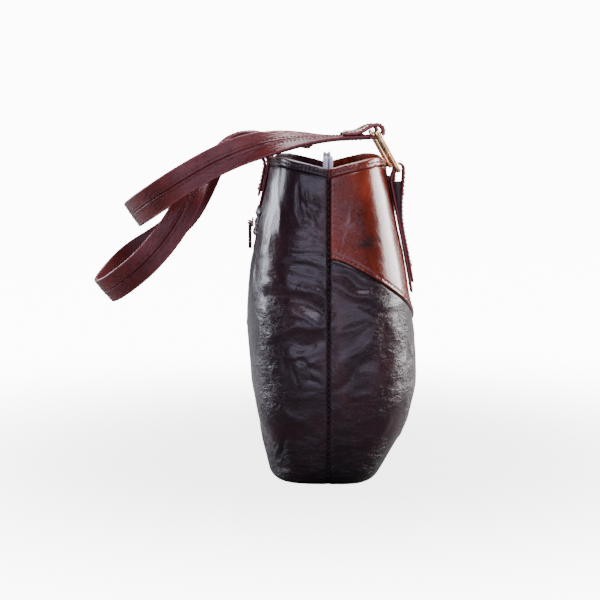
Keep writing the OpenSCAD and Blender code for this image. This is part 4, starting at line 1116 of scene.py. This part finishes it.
for side in (front, back):
    middle, width, face = strapFrame(side)
    body = sideName[side] + "_handle"
    half, t = strap["width"] / 2, handle["outer"] / 2
    e = np.concatenate([np.linspace(-1, -0.06, 22), np.linspace(-0.05, 0.05, 7), np.linspace(0.06, 1, 22)])
    a = np.radians(np.linspace(75, -75, 6))
    # the outer leather is turned in at both edges and butted along the middle
    seam = -handle["seam"] * hump(e / 0.028) + 0.28 * hump((np.abs(e) - 0.085) / 0.05)
    groove = -handle["groove"] * hump((np.abs(e) - handle["stitchAt"]) / 0.035)
    ring = np.concatenate([
        np.stack([e * (half - t), t + seam + groove + 0.25 * (1 - e ** 2)], -1),
        np.stack([half - t + t * np.cos(a), t * np.sin(a)], -1),
        np.stack([np.linspace(1, -1, len(e)) * (half - t), np.full(len(e), -t)], -1),
        np.stack([-(half - t) - t * np.cos(a[::-1]), t * np.sin(a[::-1])], -1)])
    centre = middle + face * (handle["total"] / 2 - t)
    rings = centre[:, None] + ring[None, :, :1] * width[:, None] + ring[None, :, 1:] * face[:, None]
    uneven = 0.12 * waves(travelled(middle)[:, None], 2.5 * ring[None, :, 0], 9, 4, 71)
    rings += (uneven * (ring[None, :, 1] > 0.5))[..., None] * face[:, None]
    # painted shade in the butted middle seam, in the stitch grooves and on the underside face; paler wear
    # on the rounded edges
    tone = 1 - 0.85 * hump(e / 0.03) + 0.5 * clamp((np.abs(e) - 0.93) / 0.05)
    tone = tone - 0.5 * hump((np.abs(e) - handle["stitchAt"]) / 0.03)
    tone = np.concatenate([tone, np.full(len(a), 1.5), np.full(len(e), 0.5), np.full(len(a), 1.5)])
    skinPiece(body + "_leather", rings, strapLeather, body, (body + "_strap",),
              shade=tone[None, :])

    under = -handle["total"] / 2 + handle["inner"]
    rings = band(middle + face * (under - handle["inner"] / 2), width, face, strap["width"] - 0.8,
                 handle["inner"], 0.0, 24, 5)
    # the inner layer, on the strap's underside, is painted a little darker as shade
    skinPiece(body + "_inner_leather", rings, strapLeather, body, (body + "_lining",),
              shade=0.75)
    # painted seam line between the two layers
    rings = band(middle + face * (under + 0.15), width, face, strap["width"] - 1.0, 1.0, 0.0, 10, 4)
    skinPiece(body + "_edge_paint", rings, edgePaint, body)
    at, seen = handle["stitchAt"], slice(4, -4)
    rows = stripRows(centre, width, face, at * (half - t), t + 0.02 + 0.25 * (1 - at ** 2), seen, "handle")
    rows += stripRows(middle, width, face, at * half, -handle["total"] / 2, seen, "handle")
    stitchPiece(body + "_stitches", rows, redThread, body)


def foldLine(side):
    # A fold leaves the strap's end, goes round the ring's bar and comes back on top of the strap
    first = float(spineAngle(side, 0.0))
    turn = np.array([[math.cos(first), math.sin(first)], [-math.sin(first), math.cos(first)]])
    radius = foldInner + handle["fold"] / 2
    centre = np.array([0, handle["foldRoom"] - handle["gap"]])
    leg = np.stack([np.linspace(handle["start"] - 0.3, 1.0, 8), np.full(8, -spineDrop)], -1) @ turn
    arc = np.radians(np.linspace(268, 100, 30))
    loop = (centre + radius * np.stack([np.cos(arc), np.sin(arc)], -1)) @ turn
    r = np.linspace(0.8, handle["foldLength"], 40)
    a = spineAngle(side, r)
    lift = mix(2 * foldInner + handle["fold"], handle["total"] / 2 + handle["gap"] + handle["fold"] / 2,
               wave(r / handle["foldSettle"]))
    flap = spinePoint(side, r) + lift[:, None] * np.stack([-np.sin(a), np.cos(a)], -1)
    return np.concatenate([leg, loop, flap]), centre @ turn


for side in (front, back):
    barY, barZ = barYZ(side)
    line, loopCentre = foldLine(side)
    normal = stripNormal(line, loopCentre, 20)
    travel = travelled(line)
    endGap = travel[-1] - travel
    narrow = mix(0.9, 1, np.sqrt(roundedEnd(endGap, 6)))
    thin = mix(0.55, 1, clamp(endGap / 8))
    widthway, faceway = pointing(travel, 1, 0, 0), points(0, normal[:, 0], normal[:, 1])
    for hand in (left, right):
        name = sideName[side] + "_" + handName[hand] + "_fold"
        body = sideName[side] + "_handle"
        middle = points(hand * tabs[side]["x"], barY + line[:, 0], barZ + line[:, 1])
        rings = band(middle, widthway, faceway, strap["width"], handle["fold"], 0.2, 18, 5)
        offset = rings - middle[:, None]
        up = np.einsum("nki,ni->nk", offset, faceway)
        offset = offset + ((thin[:, None] - 1) * np.maximum(up, 0))[..., None] * faceway[:, None]
        offset[..., 0] *= narrow[:, None]
        e = np.abs(offset[..., 0]) / (strap["width"] / 2)
        # painted shade along the stitch lines and on the fold's underside; paler wear at the edges; darker
        # at the cut end
        tone = 1 - 0.5 * hump((e - 0.8) / 0.05) + 0.6 * clamp((e - 0.93) / 0.05)
        tone = np.where((up < 0) & (e < 0.97), 0.45, tone)
        tone = np.where(endGap[:, None] < 1.5, 0.4, tone)
        skinPiece(name + "_leather", middle[:, None] + offset, strapLeather, body, (name,),
                  shade=tone)
        rows = stripRows(middle, widthway, faceway, strap["width"] / 2 - handle["foldStitchIn"],
                         handle["fold"] / 2 + 0.15, slice(12, -3), "fold")
        stitchPiece(name + "_stitches", rows, redThread, body)
print("handles ready")

# floor, lights and camera
scene = bpy.context.scene
studio = dict(distance=1.570, sideways=0.011, height=0.346, pitch=6.654, yaw=0.649, lens=90, sensor=36,
              fill=0.10, paper=12.0, shadowedPaper=0.35, paperColour=(0.10, 0.10, 0.10),
              floorLight=(0.085, 0.080, 0.115), floorHalf=8)


def stageFinish(name, colour):
    # Paper that is white to the eye, dimmed round the bag as a painted shadow, and that lights the bag only
    # a little through a lilac glow on the camera's side
    f = Finish(name)
    away = f.node("ShaderNodeVectorMath", {"operation": "LENGTH"}, {0: f.place()}, out="Value")
    near = studio["shadowedPaper"]
    seen = f.node("ShaderNodeLightPath", out="Is Camera Ray")
    # painted shadow: the paper the camera sees is dimmer round the bag
    glow = f.blend(f.between(away, 0.15, 0.8), (near, near, near), (1.0, 1.0, 1.0))
    here = f.node("ShaderNodeSeparateXYZ", {}, {0: f.place()})
    # a glow on the camera's side of the floor, not a lamp, seen only in the bag's reflections and light
    lit = f.blend(f.between(0 - here, 0.6, 1.1), (0.0, 0.0, 0.0), studio["floorLight"])
    cloud = f.noise(f.place(), 3, 3)
    return f.surface(Base_Color=f.blend(cloud * 0.1, colour, (0.2, 0.2, 0.2)), Roughness=0.85,
                     Emission_Color=f.blend(seen, lit, glow), Emission_Strength=studio["paper"])


far = studio["floorHalf"]
floorMesh = bpy.data.meshes.new("floor")
floorMesh.from_pydata([(-far, -far, 0), (far, -far, 0), (far, far, 0), (-far, far, 0)], [], [(0, 1, 2, 3)])
floorMesh.materials.append(stageFinish("floorPaint", studio["paperColour"]))
floor = bpy.data.objects.new("floor", floorMesh)
scene.collection.objects.link(floor)

world = bpy.data.worlds.new("studioAir")
world.use_nodes = True
# the paper behind is white to the eye, and gives the leather only a little light
air = world.node_tree
seen = air.nodes.new("ShaderNodeLightPath")
level = air.nodes.new("ShaderNodeMapRange")
level.inputs["To Min"].default_value, level.inputs["To Max"].default_value = studio["fill"], studio["paper"]
air.links.new(seen.outputs["Is Camera Ray"], level.inputs["Value"])
air.links.new(level.outputs["Result"], air.nodes["Background"].inputs["Strength"])
air.nodes["Background"].inputs["Color"].default_value = (1.0, 1.0, 1.0, 1)
scene.world = world

# soft lamps in metres and watts; the two windows behind the camera give the lilac sheen
lamps = dict(
    frontSideLight=dict(place=(0.95, -2.3, 0.95), size=(2.4, 1.5), power=230, colour=(1.0, 0.98, 0.98)),
    backSideLight=dict(place=(1.05, 2.3, 0.95), size=(2.1, 1.3), power=140, colour=(0.82, 0.86, 1.0)),
    topLight=dict(place=(0.9, 0.0, 2.6), size=(1.6, 1.8), power=120, colour=(0.96, 0.92, 1.0)),
    nearLight=dict(place=(-2.0, -0.7, 2.5), size=(0.7, 0.7), power=26, colour=(0.84, 0.80, 1.0), aimZ=0.15),
    upperWindow=dict(place=(-2.7, 0.55, 1.55), size=(1.1, 0.75), power=15, colour=(0.74, 0.72, 1.0)),
    lowerWindow=dict(place=(-2.7, -0.25, 0.52), size=(2.0, 0.6), power=19, colour=(0.78, 0.73, 1.0)))


def softLight(name, place, size, power, colour, aimZ=0.2):
    data = bpy.data.lights.new(name, "AREA")
    data.shape, data.energy, data.color = "RECTANGLE", power, colour
    data.size, data.size_y = size
    lamp = bpy.data.objects.new(name, data)
    lamp.location = place
    lamp.rotation_euler = (Vector((0, 0, aimZ)) - Vector(place)).to_track_quat("-Z", "Y").to_euler()
    lamp.visible_camera = False
    scene.collection.objects.link(lamp)


for name, look in lamps.items():
    softLight(name, **look)

camera = bpy.data.cameras.new("camera")
camera.lens, camera.sensor_width = studio["lens"], studio["sensor"]
eye = bpy.data.objects.new("camera", camera)
eye.location = (-studio["distance"], studio["sideways"], studio["height"])
pitch, yaw = math.radians(studio["pitch"]), math.radians(studio["yaw"])
ahead = Vector((math.cos(pitch) * math.cos(yaw), math.cos(pitch) * math.sin(yaw), -math.sin(pitch)))
eye.rotation_euler = ahead.to_track_quat("-Z", "Y").to_euler()
scene.collection.objects.link(eye)
scene.camera = eye
print("studio ready")
